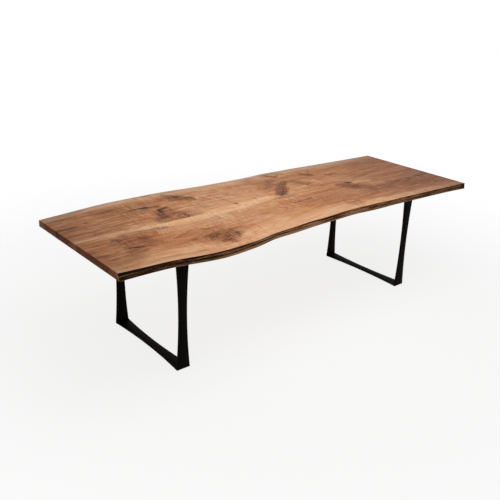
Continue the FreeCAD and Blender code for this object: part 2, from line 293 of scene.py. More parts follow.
# A mark: start, end, the two radii, tone, strength, softness, push on the grain round it
frontFigure = {
    "pith": (11210, 70), "seed": 11000,  # the seed moves the board to its own part of each pattern
    "edgeSap": ((0, 30), (0.15, 50), (0.3, 55), (0.42, 95), (0.58, 105), (0.7, 85), (0.85, 52), (1, 45)),
    "edgeTone": "sap",
    "jointSap": ((0, 26), (0.08, 44), (0.25, 80), (0.38, 64), (0.47, 24), (0.55, 0), (1, 0)),
    "jointTone": "jointPale",
    "marks": (
        # broad tones; the brown at the left end and the plum at the right end are partly the wood's colour
        # and partly painted shade where the light falls off towards the ends
        ((-1400, -40), (-1400, -340), 190, 170, "brown", 0.50, 0.8, 0),
        ((1430, -120), (1430, -430), 520, 520, "plum", 0.58, 0.9, 0),
        ((-960, -400), (-420, -410), 46, 56, "sap", 0.50, 0.8, 0),
        ((-1400, -388), (-900, -382), 42, 44, "pale", 0.35, 0.8, 0),
        ((-760, -172), (-300, -182), 50, 50, "pale", 0.30, 0.8, 0),
        ((-1190, -215), (-1080, -222), 30, 26, "brown", 0.55, 0.8, 0),
        ((-540, -400), (-250, -315), 75, 65, "sap", 0.70, 0.8, 0),
        ((-900, -100), (-60, -98), 36, 42, "pale", 0.55, 0.8, 0),
        ((390, -365), (410, -370), 45, 40, "brown", 0.42, 0.8, 0),
        ((250, -190), (1350, -270), 130, 120, "brown", 0.28, 0.9, 0),
        ((-220, -285), (20, -272), 44, 44, "pale", 0.45, 0.8, 0),
        ((-1390, -180), (-1340, -290), 42, 42, "brown", 0.40, 0.8, 0),
        ((700, -6), (1000, -16), 16, 16, "pale", 0.45, 0.8, 0),
        ((800, -415), (1330, -440), 36, 36, "sap", 0.40, 0.8, 0),
        # round brown patch near the left end, with its dash
        ((-1150, -125), (-1090, -135), 80, 74, "brown", 0.38, 0.50, 0.7),
        ((-1200, -62), (-1188, -80), 24, 20, "knotBrown", 0.55, 0.8, 0),
        ((-1186, -206), (-1118, -230), 8, 6, "knotDark", 0.85, 0.6, 0),
        ((-1200, -250), (-1120, -262), 26, 20, "brown", 0.50, 0.8, 0),
        ((-1210, -305), (-1170, -310), 50, 40, "brown", 0.52, 0.8, 0),
        ((-1050, -130), (-1000, -235), 34, 30, "brown", 0.35, 0.8, 0),
        ((-1130, -18), (-860, -46), 36, 18, "brown", 0.58, 0.8, 0),
        # two-lobed knot
        ((-705, -350), (-635, -325), 90, 88, "brown", 0.34, 0.50, 0),
        ((-724, -312), (-684, -298), 52, 34, "brown", 0.30, 0.6, 0.8),
        ((-740, -328), (-680, -296), 15, 18, "knotBrown", 0.32, 0.8, 0),
        ((-686, -404), (-600, -340), 40, 52, "brown", 0.24, 0.42, 1.2),
        ((-568, -330), (-590, -385), 9, 12, "knotBrown", 0.30, 0.8, 0),
        ((-712, -402), (-650, -432), 15, 11, "knotBrown", 0.40, 0.8, 0),
        ((-662, -382), (-604, -350), 4, 3, "knotBrown", 0.55, 0.6, 0),
        ((-700, -198), (-688, -204), 22, 18, "brown", 0.40, 0.8, 0.3),
        ((-860, -296), (-770, -300), 8, 20, "brown", 0.25, 0.8, 0),
        # dark eye with a pale tongue, and a dark band that bends away to the right end
        ((620, -52), (668, -96), 50, 44, "brown", 0.60, 0.75, 0.3),
        ((684, -14), (706, -22), 15, 12, "knotDark", 0.90, 0.5, 0.6),
        ((650, -130), (690, -225), 50, 56, "brown", 0.45, 0.85, 0),
        ((690, -75), (748, -195), 34, 44, "brown", 0.50, 0.8, 0),
        ((850, -250), (1400, -330), 60, 95, "brown", 0.32, 0.85, 0),
        ((748, -200), (860, -232), 46, 34, "brown", 0.50, 0.8, 0),
        ((860, -232), (1060, -216), 36, 28, "brown", 0.45, 0.8, 0),
        ((1060, -212), (1390, -172), 26, 34, "brown", 0.45, 0.8, 0),
        ((740, -42), (850, -64), 26, 20, "tongue", 0.60, 0.7, 0),
        ((790, -110), (900, -140), 40, 34, "tongue", 0.30, 0.8, 0),
        ((1090, -206), (1300, -178), 8, 14, "greyBrown", 0.60, 0.6, 0),
        # thin dash and rusty spots
        ((59, -138), (235, -126), 6, 8, "knotBrown", 0.80, 0.6, 0),
        ((-20, -72), (60, -115), 30, 26, "rust", 0.22, 0.8, 0),
        ((70, -16), (150, -18), 22, 22, "brown", 0.40, 0.8, 0),
        ((468, -318), (476, -314), 24, 22, "rust", 0.34, 0.7, 0.2),
        # dark line along the right end's eased arris: painted shade, with some darker end grain
        ((1402, -600), (1402, 20), 15, 15, "knotDark", 0.75, 0.6, 0),
    ),
}
rearFigure = {
    "pith": (23240, 90), "seed": 23000,
    "edgeSap": ((0, 86), (0.2, 66), (0.33, 80), (0.5, 78), (0.68, 75), (0.85, 72), (1, 70)),
    # the rear live edge's sapwood takes the grey sap tone, partly painted sheen
    "edgeTone": "greySap",
    "jointSap": ((0, 16), (0.1, 32), (0.2, 4), (0.29, 12), (0.36, 48), (0.48, 52), (0.55, 20), (0.6, 0),
                 (1, 0)),
    "jointTone": "jointPale",
    "marks": (
        # broad tones; the brown at the left end and the plum at the right end are partly the wood's colour
        # and partly painted shade where the light falls off towards the ends
        ((-1400, 130), (-1400, 400), 320, 280, "brown", 0.52, 0.9, 0),
        ((-1400, 150), (-1330, 225), 60, 40, "brown", 0.40, 0.8, 0),
        ((-1100, 405), (-950, 372), 40, 40, "brown", 0.30, 0.8, 0),
        ((-400, 292), (40, 282), 40, 40, "pale", 0.35, 0.8, 0),
        ((200, 30), (330, 25), 28, 28, "pale", 0.40, 0.8, 0),
        ((690, 70), (760, 40), 40, 40, "pale", 0.35, 0.8, 0),
        ((120, 380), (220, 270), 60, 50, "brown", 0.35, 0.9, 0),
        ((1430, 100), (1430, 420), 480, 480, "plum", 0.40, 0.9, 0),
        ((-1000, 330), (-800, 325), 95, 80, "brown", 0.35, 0.9, 0),
        ((-560, 168), (-40, 158), 52, 62, "pale", 0.60, 0.8, 0),
        ((-420, 345), (-180, 338), 34, 30, "pale", 0.50, 0.8, 0),
        ((-600, 74), (-290, 70), 34, 34, "pale", 0.50, 0.8, 0),
        ((300, 150), (380, 140), 40, 40, "pale", 0.45, 0.8, 0),
        ((-1200, 150), (-950, 145), 30, 30, "pale", 0.30, 0.8, 0),
        ((-430, 462), (-20, 448), 32, 32, "pale", 0.45, 0.8, 0),
        ((720, 385), (1370, 380), 36, 40, "pale", 0.40, 0.8, 0),
        ((-1380, 70), (-960, 62), 30, 26, "pale", 0.40, 0.8, 0),
        ((360, 230), (560, 235), 60, 50, "brown", 0.30, 0.9, 0),
        ((370, 200), (430, 100), 30, 34, "brown", 0.35, 0.85, 0),
        ((280, 450), (420, 440), 30, 30, "brown", 0.25, 0.9, 0),
        ((1100, 300), (1380, 250), 60, 60, "brown", 0.25, 0.9, 0),
        ((-1400, 260), (-1250, 200), 60, 40, "brown", 0.25, 0.9, 0),
        # knot by the live edge: dark eye, curved tail and wisps
        ((-575, 440), (-525, 360), 22, 34, "brown", 0.50, 0.85, 0),
        ((-525, 350), (-440, 305), 38, 32, "brown", 0.70, 0.85, 0),
        ((-492, 375), (-408, 304), 13, 4, "knotBrown", 0.80, 0.6, 0),
        ((-560, 480), (-512, 400), 4, 10, "knotBrown", 0.60, 0.7, 0),
        ((-516, 392), (-492, 380), 13, 16, "knotDark", 0.80, 0.6, 0.8),
        # long thin eye
        ((-900, 300), (-700, 280), 24, 22, "brown", 0.35, 0.85, 0),
        ((-880, 318), (-790, 311), 5, 10, "knotBrown", 0.75, 0.6, 0.5),
        ((-790, 311), (-700, 287), 11, 6, "knotBrown", 0.75, 0.6, 0.5),
        ((-800, 310), (-785, 309), 13, 13, "knotDark", 0.45, 0.6, 0),
        # hook with a brown haze down to the joint
        ((-690, 180), (-660, 40), 34, 80, "brown", 0.45, 0.85, 0.2),
        ((-790, 90), (-780, 40), 34, 40, "brown", 0.40, 0.85, 0),
        ((-671, 255), (-735, 228), 8, 14, "knotBrown", 0.70, 0.6, 0.3),
        ((-735, 226), (-770, 110), 20, 32, "knotBrown", 0.74, 0.7, 0.4),
        ((-830, 70), (-815, 40), 30, 30, "brown", 0.50, 0.8, 0),
        ((-738, 222), (-745, 200), 12, 12, "knotDark", 0.60, 0.6, 0),
        ((-640, 84), (-640, 22), 7, 7, "knotBrown", 0.60, 0.7, 0),
        # pin knot and its crack
        ((-266, 67), (-266, 66), 9, 9, "knotDark", 0.90, 0.4, 1.0),
        ((-262, 55), (-258, 36), 5, 3, "knotDark", 0.70, 0.5, 0),
        ((-285, 235), (-268, 76), 3, 4, "knotBrown", 0.60, 0.5, 0),
        # large slanted smear
        ((240, 290), (140, 200), 44, 44, "brown", 0.45, 0.85, 0),
        ((312, 252), (100, 20), 22, 34, "knotBrown", 0.56, 0.75, 0.3),
        ((231, 214), (84, 54), 12, 16, "knotBrown", 0.50, 0.75, 0),
        ((170, 62), (108, 24), 24, 26, "knotBrown", 0.55, 0.8, 0),
        ((290, 228), (150, 75), 7, 9, "greyBrown", 0.50, 0.7, 0),
        # small knots and lines towards the right
        ((300, 432), (338, 372), 14, 18, "brown", 0.60, 0.8, 0.3),
        ((338, 372), (388, 396), 14, 8, "brown", 0.50, 0.8, 0),
        ((566, 306), (604, 268), 20, 22, "knotBrown", 0.62, 0.75, 0.6),
        ((588, 305), (600, 290), 10, 10, "greyBrown", 0.70, 0.6, 0),
        ((556, 372), (566, 310), 5, 9, "brown", 0.60, 0.7, 0),
        ((690, 392), (604, 300), 4, 10, "brown", 0.55, 0.7, 0),
        ((461, 190), (519, 154), 30, 30, "tongue", 0.50, 0.8, 0),
        ((394, 134), (412, 108), 7, 8, "knotBrown", 0.75, 0.6, 0.4),
        ((412, 108), (450, 122), 8, 4, "knotBrown", 0.70, 0.6, 0),
        ((473, 72), (479, 8), 6, 6, "knotBrown", 0.60, 0.6, 0),
        ((697, 213), (788, 194), 14, 8, "brown", 0.60, 0.8, 0.4),
        # dark line along the right end's eased arris: painted shade, with some darker end grain
        ((1402, 0), (1402, 600), 13, 13, "knotDark", 0.60, 0.6, 0),
        # small knots towards the left
        ((-1203, 271), (-1197, 271), 12, 12, "knotBrown", 0.70, 0.5, 0.8),
        ((-1395, 235), (-1268, 238), 16, 6, "knotBrown", 0.65, 0.7, 0.4),
        ((-1230, 94), (-1220, 96), 34, 30, "brown", 0.35, 0.6, 0.6),
    ),
}

# One mark on a board: how far it covers a point, how far it pushes the grain aside
# and the shade that it throws along the grain
markTree, given = newGroup(
    "grain mark", "ShaderNodeTree",
    {"Place": "Vector", "Ragged": "Float", "Blotch": "Float", "Start": "Vector", "End": "Vector",
     "Start Radius": "Float", "End Radius": "Float", "Softness": "Float"},
    {"Cover": "Float", "Gap": "Float", "Push": "Float", "Shade": "Float"})
feather = addNode(markTree, "ShaderNodeMath", (given["Start Radius"], given["End Radius"]),
                  operation="MAXIMUM")
feather = addNode(markTree, "ShaderNodeMath", (given["Ragged"], feather), operation="MULTIPLY")
feather = addNode(markTree, "ShaderNodeMath", (feather, walnut["feather"]), operation="MULTIPLY")
feather = addNode(markTree, "ShaderNodeCombineXYZ", (feather, 0.0, 0.0))
run = addNode(markTree, "ShaderNodeVectorMath", (given["End"], given["Start"]), operation="SUBTRACT")
lead = addNode(markTree, "ShaderNodeVectorMath", (given["Place"], given["Start"]), operation="SUBTRACT")
lead = addNode(markTree, "ShaderNodeVectorMath", (lead, feather), operation="ADD")
share = addNode(markTree, "ShaderNodeVectorMath", (lead, run), operation="DOT_PRODUCT", output="Value")
whole = addNode(markTree, "ShaderNodeVectorMath", (run, run), operation="DOT_PRODUCT", output="Value")
share = addNode(markTree, "ShaderNodeMath", (share, whole), operation="DIVIDE")
share = addNode(markTree, "ShaderNodeClamp", {"Value": share})
onAxis = addNode(markTree, "ShaderNodeVectorMath", {0: run, "Scale": share}, operation="SCALE")
offset = addNode(markTree, "ShaderNodeVectorMath", (lead, onAxis), operation="SUBTRACT")
radius = addNode(markTree, "ShaderNodeMapRange", {
    "Value": share, "To Min": given["Start Radius"], "To Max": given["End Radius"]}, clamp=False)
gap = addNode(markTree, "ShaderNodeVectorMath", (offset,), operation="LENGTH", output="Value")
gap = addNode(markTree, "ShaderNodeMath", (gap, radius), operation="DIVIDE")
uneven = addNode(markTree, "ShaderNodeMath", (given["Blotch"], walnut["uneven"], gap),
                 operation="MULTIPLY_ADD")
outer = addNode(markTree, "ShaderNodeMath", (1.0, given["Softness"]), operation="ADD")
inner = addNode(markTree, "ShaderNodeMath", (1.0, given["Softness"]), operation="SUBTRACT")
cover = addNode(markTree, "ShaderNodeMapRange", {
    "Value": uneven, "From Min": outer, "From Max": inner}, interpolation_type="SMOOTHSTEP", clamp=False)
falls = {}
for effect, markReach in walnut["markReach"].items():
    fall = addNode(markTree, "ShaderNodeVectorMath", (offset, markReach), operation="DIVIDE")
    fall = addNode(markTree, "ShaderNodeVectorMath", (fall,), operation="LENGTH", output="Value")
    fall = addNode(markTree, "ShaderNodeMath", (fall, radius), operation="DIVIDE")
    fall = addNode(markTree, "ShaderNodeMath", (fall, 2.0), operation="POWER")
    fall = addNode(markTree, "ShaderNodeMath", (fall, -1.0), operation="MULTIPLY")
    falls[effect] = addNode(markTree, "ShaderNodeMath", (fall,), operation="EXPONENT")
aside = addNode(markTree, "ShaderNodeSeparateXYZ", (offset,), output="Y")
asideSize = addNode(markTree, "ShaderNodeMath", (aside,), operation="ABSOLUTE")
asideSize = addNode(markTree, "ShaderNodeMath", (radius, walnut["pushTurn"], asideSize),
                    operation="MULTIPLY_ADD")
push = addNode(markTree, "ShaderNodeMath", (aside, asideSize), operation="DIVIDE")
push = addNode(markTree, "ShaderNodeMath", (push, falls["push"]), operation="MULTIPLY")
push = addNode(markTree, "ShaderNodeMath", (push, radius), operation="MULTIPLY")
addNode(markTree, "NodeGroupOutput", {"Cover": cover, "Gap": gap, "Push": push, "Shade": falls["shade"]})


# A point's place along the board, across the table, up, and from joint to live edge, and how far it is
# from those two
def boardPlace(tree, figure):
    along, sideways, height = addNode(tree, "ShaderNodeSeparateXYZ", (placeInMm(tree),)).node.outputs
    toEdge = addNode(tree, "ShaderNodeAttribute", output="Fac", attribute_name="toEdge")
    toJoint = addNode(tree, "ShaderNodeMath", (sideways, jointY), operation="SUBTRACT")
    toJoint = addNode(tree, "ShaderNodeMath", (toJoint,), operation="ABSOLUTE")
    width = addNode(tree, "ShaderNodeMath", (toJoint, toEdge), operation="ADD")
    across = addNode(tree, "ShaderNodeMath", (toJoint, width), operation="DIVIDE")
    across = addNode(tree, "ShaderNodeMath", (across, walnut["boardWidth"]), operation="MULTIPLY")
    across = addNode(tree, "ShaderNodeMath", (across, figure["seed"]), operation="ADD")
    return along, sideways, height, across, toJoint, toEdge


# Each mark is folded in as it comes: bare is the share of the board that a tone's marks leave alone
def foldMarks(tree, figure, outward, lane, **shared):
    bare = {}
    shade = knotCover = knotRing = 0.0
    ringsAcross = walnut["knotRings"] * walnut["ringWidth"]
    for start, end, startRadius, endRadius, toneName, strength, softness, pushes in figure["marks"]:
        mark = addNode(tree, "ShaderNodeGroup", {
            **shared, "Start": (*start, 0), "End": (*end, 0), "Start Radius": startRadius,
            "End Radius": endRadius, "Softness": softness}, node_tree=markTree).node.outputs
        spared = addNode(tree, "ShaderNodeMath", (mark["Cover"], -strength, 1.0), operation="MULTIPLY_ADD")
        spared = addNode(tree, "ShaderNodeMath", (spared, bare.get(toneName, 1.0)), operation="MULTIPLY")
        bare[toneName] = spared
        if not pushes:
            continue
        lane = addNode(tree, "ShaderNodeMath", (mark["Push"], -pushes * outward, lane),
                       operation="MULTIPLY_ADD")
        shade = addNode(tree, "ShaderNodeMath", (mark["Shade"], pushes, shade), operation="MULTIPLY_ADD")
        ringHere = addNode(tree, "ShaderNodeMath", (mark["Gap"], ringsAcross), operation="MULTIPLY")
        knotRing = addNode(tree, "ShaderNodeMix", {0: mark["Cover"], 2: knotRing, 3: ringHere})
        knotCover = addNode(tree, "ShaderNodeMath", (mark["Cover"], knotCover), operation="MAXIMUM")
    return bare, shade, lane, knotCover, knotRing


# Growth rings: distance from the pith, which runs along the board below its face
def growthRings(tree, figure, along, height, lane, knotCover, knotRing):
    pithLane, pithDepth = figure["pith"]
    slow = addNode(tree, "ShaderNodeMath", (along, walnut["pithWave"]), operation="DIVIDE")
    slow = addNode(tree, "ShaderNodeTexNoise", {"W": slow, "Scale": 1.0, "Detail": 1.0},
                   noise_dimensions="1D")
    depth = addNode(tree, "ShaderNodeMath", (topZ + pithDepth, height), operation="SUBTRACT")
    depth = addNode(tree, "ShaderNodeMath", (slow, walnut["pithDip"], depth), operation="MULTIPLY_ADD")
    fromPith = addNode(tree, "ShaderNodeMath", (lane, pithLane), operation="SUBTRACT")
    spoke = addNode(tree, "ShaderNodeCombineXYZ", (fromPith, depth, 0.0))
    ring = addNode(tree, "ShaderNodeVectorMath", (spoke,), operation="LENGTH", output="Value")
    ring = addNode(tree, "ShaderNodeMix", {0: knotCover, 2: ring, 3: knotRing})
    ringPlace = addNode(tree, "ShaderNodeCombineXYZ", (ring, along, 0.0))
    rings = surfacePatterns(tree, ringPlace, walnut["ringPatterns"], "2D")
    year = addNode(tree, "ShaderNodeMath", (ring, walnut["ringWidth"]), operation="DIVIDE")
    year = addNode(tree, "ShaderNodeMath", (rings["crowd"], walnut["crowdYears"], year),
                   operation="MULTIPLY_ADD")
    year = addNode(tree, "ShaderNodeMath", (year,), operation="FRACT")
    late = addNode(tree, "ShaderNodeMapRange", {"Value": year, "From Min": walnut["lateFrom"]},
                   interpolation_type="SMOOTHSTEP")
    lineFrom, lineFull = walnut["lineRange"]
    line = addNode(tree, "ShaderNodeMapRange", {
        "Value": rings["line"], "From Min": lineFrom, "From Max": lineFull})
    late = addNode(tree, "ShaderNodeMath", (late, line), operation="MULTIPLY")
    lateDepth = addNode(tree, "ShaderNodeMath", (knotCover, walnut["knotDepth"], walnut["lateDepth"]),
                        operation="MULTIPLY_ADD")
    late = addNode(tree, "ShaderNodeMath", (late, lateDepth), operation="MULTIPLY")
    return rings["band"], late


# Heartwood bands, then sapwood along the joint and the live edge, then the marks
def boardTone(tree, figure, band, bare, shareX, ragged, toJoint, toEdge):
    palette = {toneName: linear(colour) for toneName, colour in walnut["palette"].items()}
    tone = addNode(tree, "ShaderNodeValToRGB", (band,), stops=walnut["heart"])
    clear, full = walnut["sapBorder"]
    for side, distance in (("joint", toJoint), ("edge", toEdge)):
        points = [(at, value / walnut["sapFull"]) for at, value in figure[side + "Sap"]]
        sapWidth = addNode(tree, "ShaderNodeFloatCurve", {"Value": shareX}, points=points)
        sapWidth = addNode(tree, "ShaderNodeMath", (sapWidth, walnut["sapFull"]), operation="MULTIPLY")
        outside = addNode(tree, "ShaderNodeMath", (distance, sapWidth), operation="SUBTRACT")
        outside = addNode(tree, "ShaderNodeMath", (ragged, walnut[side + "Ragged"], outside),
                          operation="MULTIPLY_ADD")
        cover = addNode(tree, "ShaderNodeMapRange", {
            "Value": outside, "From Min": clear, "From Max": full, "To Max": walnut["sapCover"]},
            interpolation_type="SMOOTHSTEP")
        tone = addNode(tree, "ShaderNodeMix", {0: cover, 6: tone, 7: palette[figure[side + "Tone"]]},
                       2, data_type="RGBA")
    for toneName in filter(bare.get, palette):
        tone = addNode(tree, "ShaderNodeMix", {0: bare[toneName], 6: palette[toneName], 7: tone},
                       2, data_type="RGBA")
    return tone


# Cross-grain curl, in patches and in the part of the length where the board has it
def boardCurl(tree, rippled, mask, shareX):
    size, detail, rough = walnut["curlPattern"]
    curl = addNode(tree, "ShaderNodeMapping", {
        "Vector": rippled, "Rotation": (0, 0, walnut["curlTurn"]), "Scale": size}, vector_type="TEXTURE")
    curl = addNode(tree, "ShaderNodeTexNoise", {
        "Vector": curl, "Scale": 1.0, "Detail": detail, "Roughness": rough})
    curl = addNode(tree, "ShaderNodeMath", (curl, noiseMiddle), operation="SUBTRACT")
    curlFrom, curlFull = walnut["curlRange"]
    curled = addNode(tree, "ShaderNodeMapRange", {"Value": mask, "From Min": curlFrom, "From Max": curlFull})
    curlRun = addNode(tree, "ShaderNodeFloatCurve", {"Value": shareX}, points=walnut["curlRun"])
    curled = addNode(tree, "ShaderNodeMath", (curled, curlRun), operation="MULTIPLY")
    return addNode(tree, "ShaderNodeMath", (curl, curled), operation="MULTIPLY")


# The figure of one board: its tone, its latewood lines, its fibre and its pores at a point
def boardFigure(name, figure, outward):
    tree, _ = newGroup(name, "ShaderNodeTree", {}, {
        "Tone": "Color", "Late": "Float", "Fibre": "Float", "Pores": "Float"})
    along, sideways, height, across, toJoint, toEdge = boardPlace(tree, figure)
    board = addNode(tree, "ShaderNodeCombineXYZ", (along, across, height))
    soft = surfacePatterns(tree, board, walnut["softPatterns"])
    sway = addNode(tree, "ShaderNodeMapRange", {
        "Value": soft["sway"], "To Min": -walnut["swayReach"], "To Max": walnut["swayReach"]})
    lane = addNode(tree, "ShaderNodeMath", (across, sway), operation="ADD")
    ragged = addNode(tree, "ShaderNodeMath", (soft["streak"], noiseMiddle), operation="SUBTRACT")
    blotch = addNode(tree, "ShaderNodeMath", (soft["blotch"], noiseMiddle), operation="SUBTRACT")
    swirl = soft["swirl"].node.outputs["Color"]
    swirl = addNode(tree, "ShaderNodeVectorMath", (swirl, (noiseMiddle,) * 3), operation="SUBTRACT")
    swirl = addNode(tree, "ShaderNodeVectorMath", (swirl, walnut["swirlReach"]), operation="MULTIPLY")

    below = addNode(tree, "ShaderNodeMath", (topZ, height), operation="SUBTRACT")
    slant = addNode(tree, "ShaderNodeVectorMath", {0: walnut["knotSlant"], "Scale": below}, operation="SCALE")
    markPlace = addNode(tree, "ShaderNodeCombineXYZ", (along, sideways, 0.0))
    for shift in (swirl, slant):
        markPlace = addNode(tree, "ShaderNodeVectorMath", (markPlace, shift), operation="ADD")
    bare, shade, lane, knotCover, knotRing = foldMarks(
        tree, figure, outward, lane, Place=markPlace, Ragged=ragged, Blotch=blotch)
    band, late = growthRings(tree, figure, along, height, lane, knotCover, knotRing)

    grainPlace = addNode(tree, "ShaderNodeCombineXYZ", (along, lane, height))
    fine = surfacePatterns(tree, grainPlace, walnut["finePatterns"])
    poreFrom, poreFull = walnut["poreRange"]
    pores = addNode(tree, "ShaderNodeMapRange", {
        "Value": fine["pore"], "From Min": poreFrom, "From Max": poreFull})

    shareX = addNode(tree, "ShaderNodeMapRange", {"Value": along, "From Min": -tableX, "From Max": tableX})
    tone = boardTone(tree, figure, band, bare, shareX, ragged, toJoint, toEdge)
    rippled = addNode(tree, "ShaderNodeVectorMath", (grainPlace, swirl), operation="ADD")
    curl = boardCurl(tree, rippled, soft["mask"], shareX)
    depth = 1.0
    for cause, amount in ((shade, walnut["shadeDepth"]), (ragged, -walnut["streakDepth"]),
                          (curl, walnut["curlDepth"])):
        depth = addNode(tree, "ShaderNodeMath", (cause, amount, depth), operation="MULTIPLY_ADD")
    tone = addNode(tree, "ShaderNodeGamma", {"Color": tone, "Gamma": depth})
    addNode(tree, "NodeGroupOutput", {"Tone": tone, "Late": late, "Fibre": fine["fibre"], "Pores": pores})
    return tree


# Sanded and oiled walnut: low sheen, brown heart with darker growth lines and short open pores
def walnutFace(name, figureTree):
    material, tree, shader = newMaterial(name, IOR=1.45, Specular_IOR_Level=0.14)
    figure = addNode(tree, "ShaderNodeGroup", node_tree=figureTree).node.outputs
    fibre = addNode(tree, "ShaderNodeMapRange", {
        "Value": figure["Fibre"], "To Min": 1 + walnut["fibreDepth"], "To Max": 1 - walnut["fibreDepth"]})
    depth = addNode(tree, "ShaderNodeMath", (fibre, figure["Late"]), operation="ADD")
    depth = addNode(tree, "ShaderNodeMath", (figure["Pores"], walnut["poreDepth"], depth),
                    operation="MULTIPLY_ADD")
    colour = addNode(tree, "ShaderNodeGamma", {"Color": figure["Tone"], "Gamma": depth})
    smooth, dull = walnut["faceRough"]
    rough = addNode(tree, "ShaderNodeMapRange", {"Value": figure["Fibre"], "To Min": smooth, "To Max": dull})
    relief = addNode(tree, "ShaderNodeMath", (figure["Pores"], -walnut["poreRelief"], figure["Fibre"]),
                     operation="MULTIPLY_ADD")
    strength, distance = walnut["faceBump"]
    bump = addNode(tree, "ShaderNodeBump", {"Height": relief, "Strength": strength, "Distance": distance})
    feedShader(tree, shader, Base_Color=colour, Roughness=rough, Normal=bump)
    return material


# Sawn end grain: soaks up oil, so it is much darker, with ring arcs and open vessels
endGrain = {
    "vessel": 2.2,                    # mm between vessels, drawn coarser than real so that they show
    "vesselRange": (0.16, 0.34), "vesselShade": 0.62,
    "ringDepth": 1.6, "depth": 1.32, "shade": 0.62,
    "bump": (0.35, 0.5 * mm),
}


def walnutEnd(name, figureTree):
    material, tree, shader = newMaterial(name, IOR=1.45, Specular_IOR_Level=0.10, Roughness=0.72)
    figure = addNode(tree, "ShaderNodeGroup", node_tree=figureTree).node.outputs
    vessels = addNode(tree, "ShaderNodeTexVoronoi", {
        "Vector": placeInMm(tree), "Scale": 1 / endGrain["vessel"]})
    wall, wood = endGrain["vesselRange"]
    vessels = addNode(tree, "ShaderNodeMapRange", {
        "Value": vessels, "From Min": wall, "From Max": wood,
        "To Min": endGrain["vesselShade"], "To Max": 1.0})
    depth = addNode(tree, "ShaderNodeMath", (figure["Late"], endGrain["ringDepth"], endGrain["depth"]),
                    operation="MULTIPLY_ADD")
    colour = addNode(tree, "ShaderNodeGamma", {"Color": figure["Tone"], "Gamma": depth})
    shade = addNode(tree, "ShaderNodeMath", (vessels, endGrain["shade"]), operation="MULTIPLY")
    colour = addNode(tree, "ShaderNodeVectorMath", {0: colour, "Scale": shade}, operation="SCALE")
    strength, distance = endGrain["bump"]
    bump = addNode(tree, "ShaderNodeBump", {"Height": vessels, "Strength": strength, "Distance": distance})
    feedShader(tree, shader, Base_Color=colour, Normal=bump)
    return material


# Debarked live edge: grooves darker and crests browner by their relief, partly painted shade and light and
# partly darker bark left in the grooves; crests with a dry grey cast, fine fibres and pits
liveEdgeFinish = {
    "patterns": {  # size along, across and down the edge in mm, detail and roughness
        "patch": ((420, 60, 14), 2.0, 0.5),
        "fibre": ((110, 12, 2.6), 3.0, 0.5),
        "thread": ((40, 8, 1.1), 3.0, 0.5),
        "pit": ((15, 6, 2.6), 2.0, 0.5),
    },
    "lifts": {"patch": 0.45, "fibre": 0.80, "thread": 0.65},  # how much a pattern moves the tone
    "pitRange": (0.60, 0.70), "pitDepth": 0.32,
    # ridgeLift lightens the crests and darkens the grooves by their relief: painted light and shade, with
    # some darker bark in the grooves
    "ridgeLift": 1.25, "level": 0.19,
    # the rim band is painted shade under the upper arris, where the edge undercuts
    "rim": (9, 2, -0.42),             # dark line under the upper arris: from, full, lift; mm from the top
    "foot": (16, 34, 0.10),           # paler wood towards the lower arris
    "wander": 14,                     # how far both move up and down along the edge
    # tone over the length, 0.5 where the crests alone decide it: partly the edge's own tone and partly
    # painted light, brighter in the middle and darker towards both ends, darkest at the right end
    "light": ((0, 0.42), (0.1, 0.46), (0.2, 0.58), (0.32, 0.74), (0.45, 0.84), (0.6, 0.80), (0.8, 0.72),
              (0.97, 0.54), (0.992, 0.40), (1, 0.20)),
    "tones": ((0.28, "#070401"), (0.46, "#1c1005"), (0.62, "#3f2611"), (0.80, "#624024"), (1.0, "#9c7353")),
    "bump": (0.6, 0.8 * mm),
}


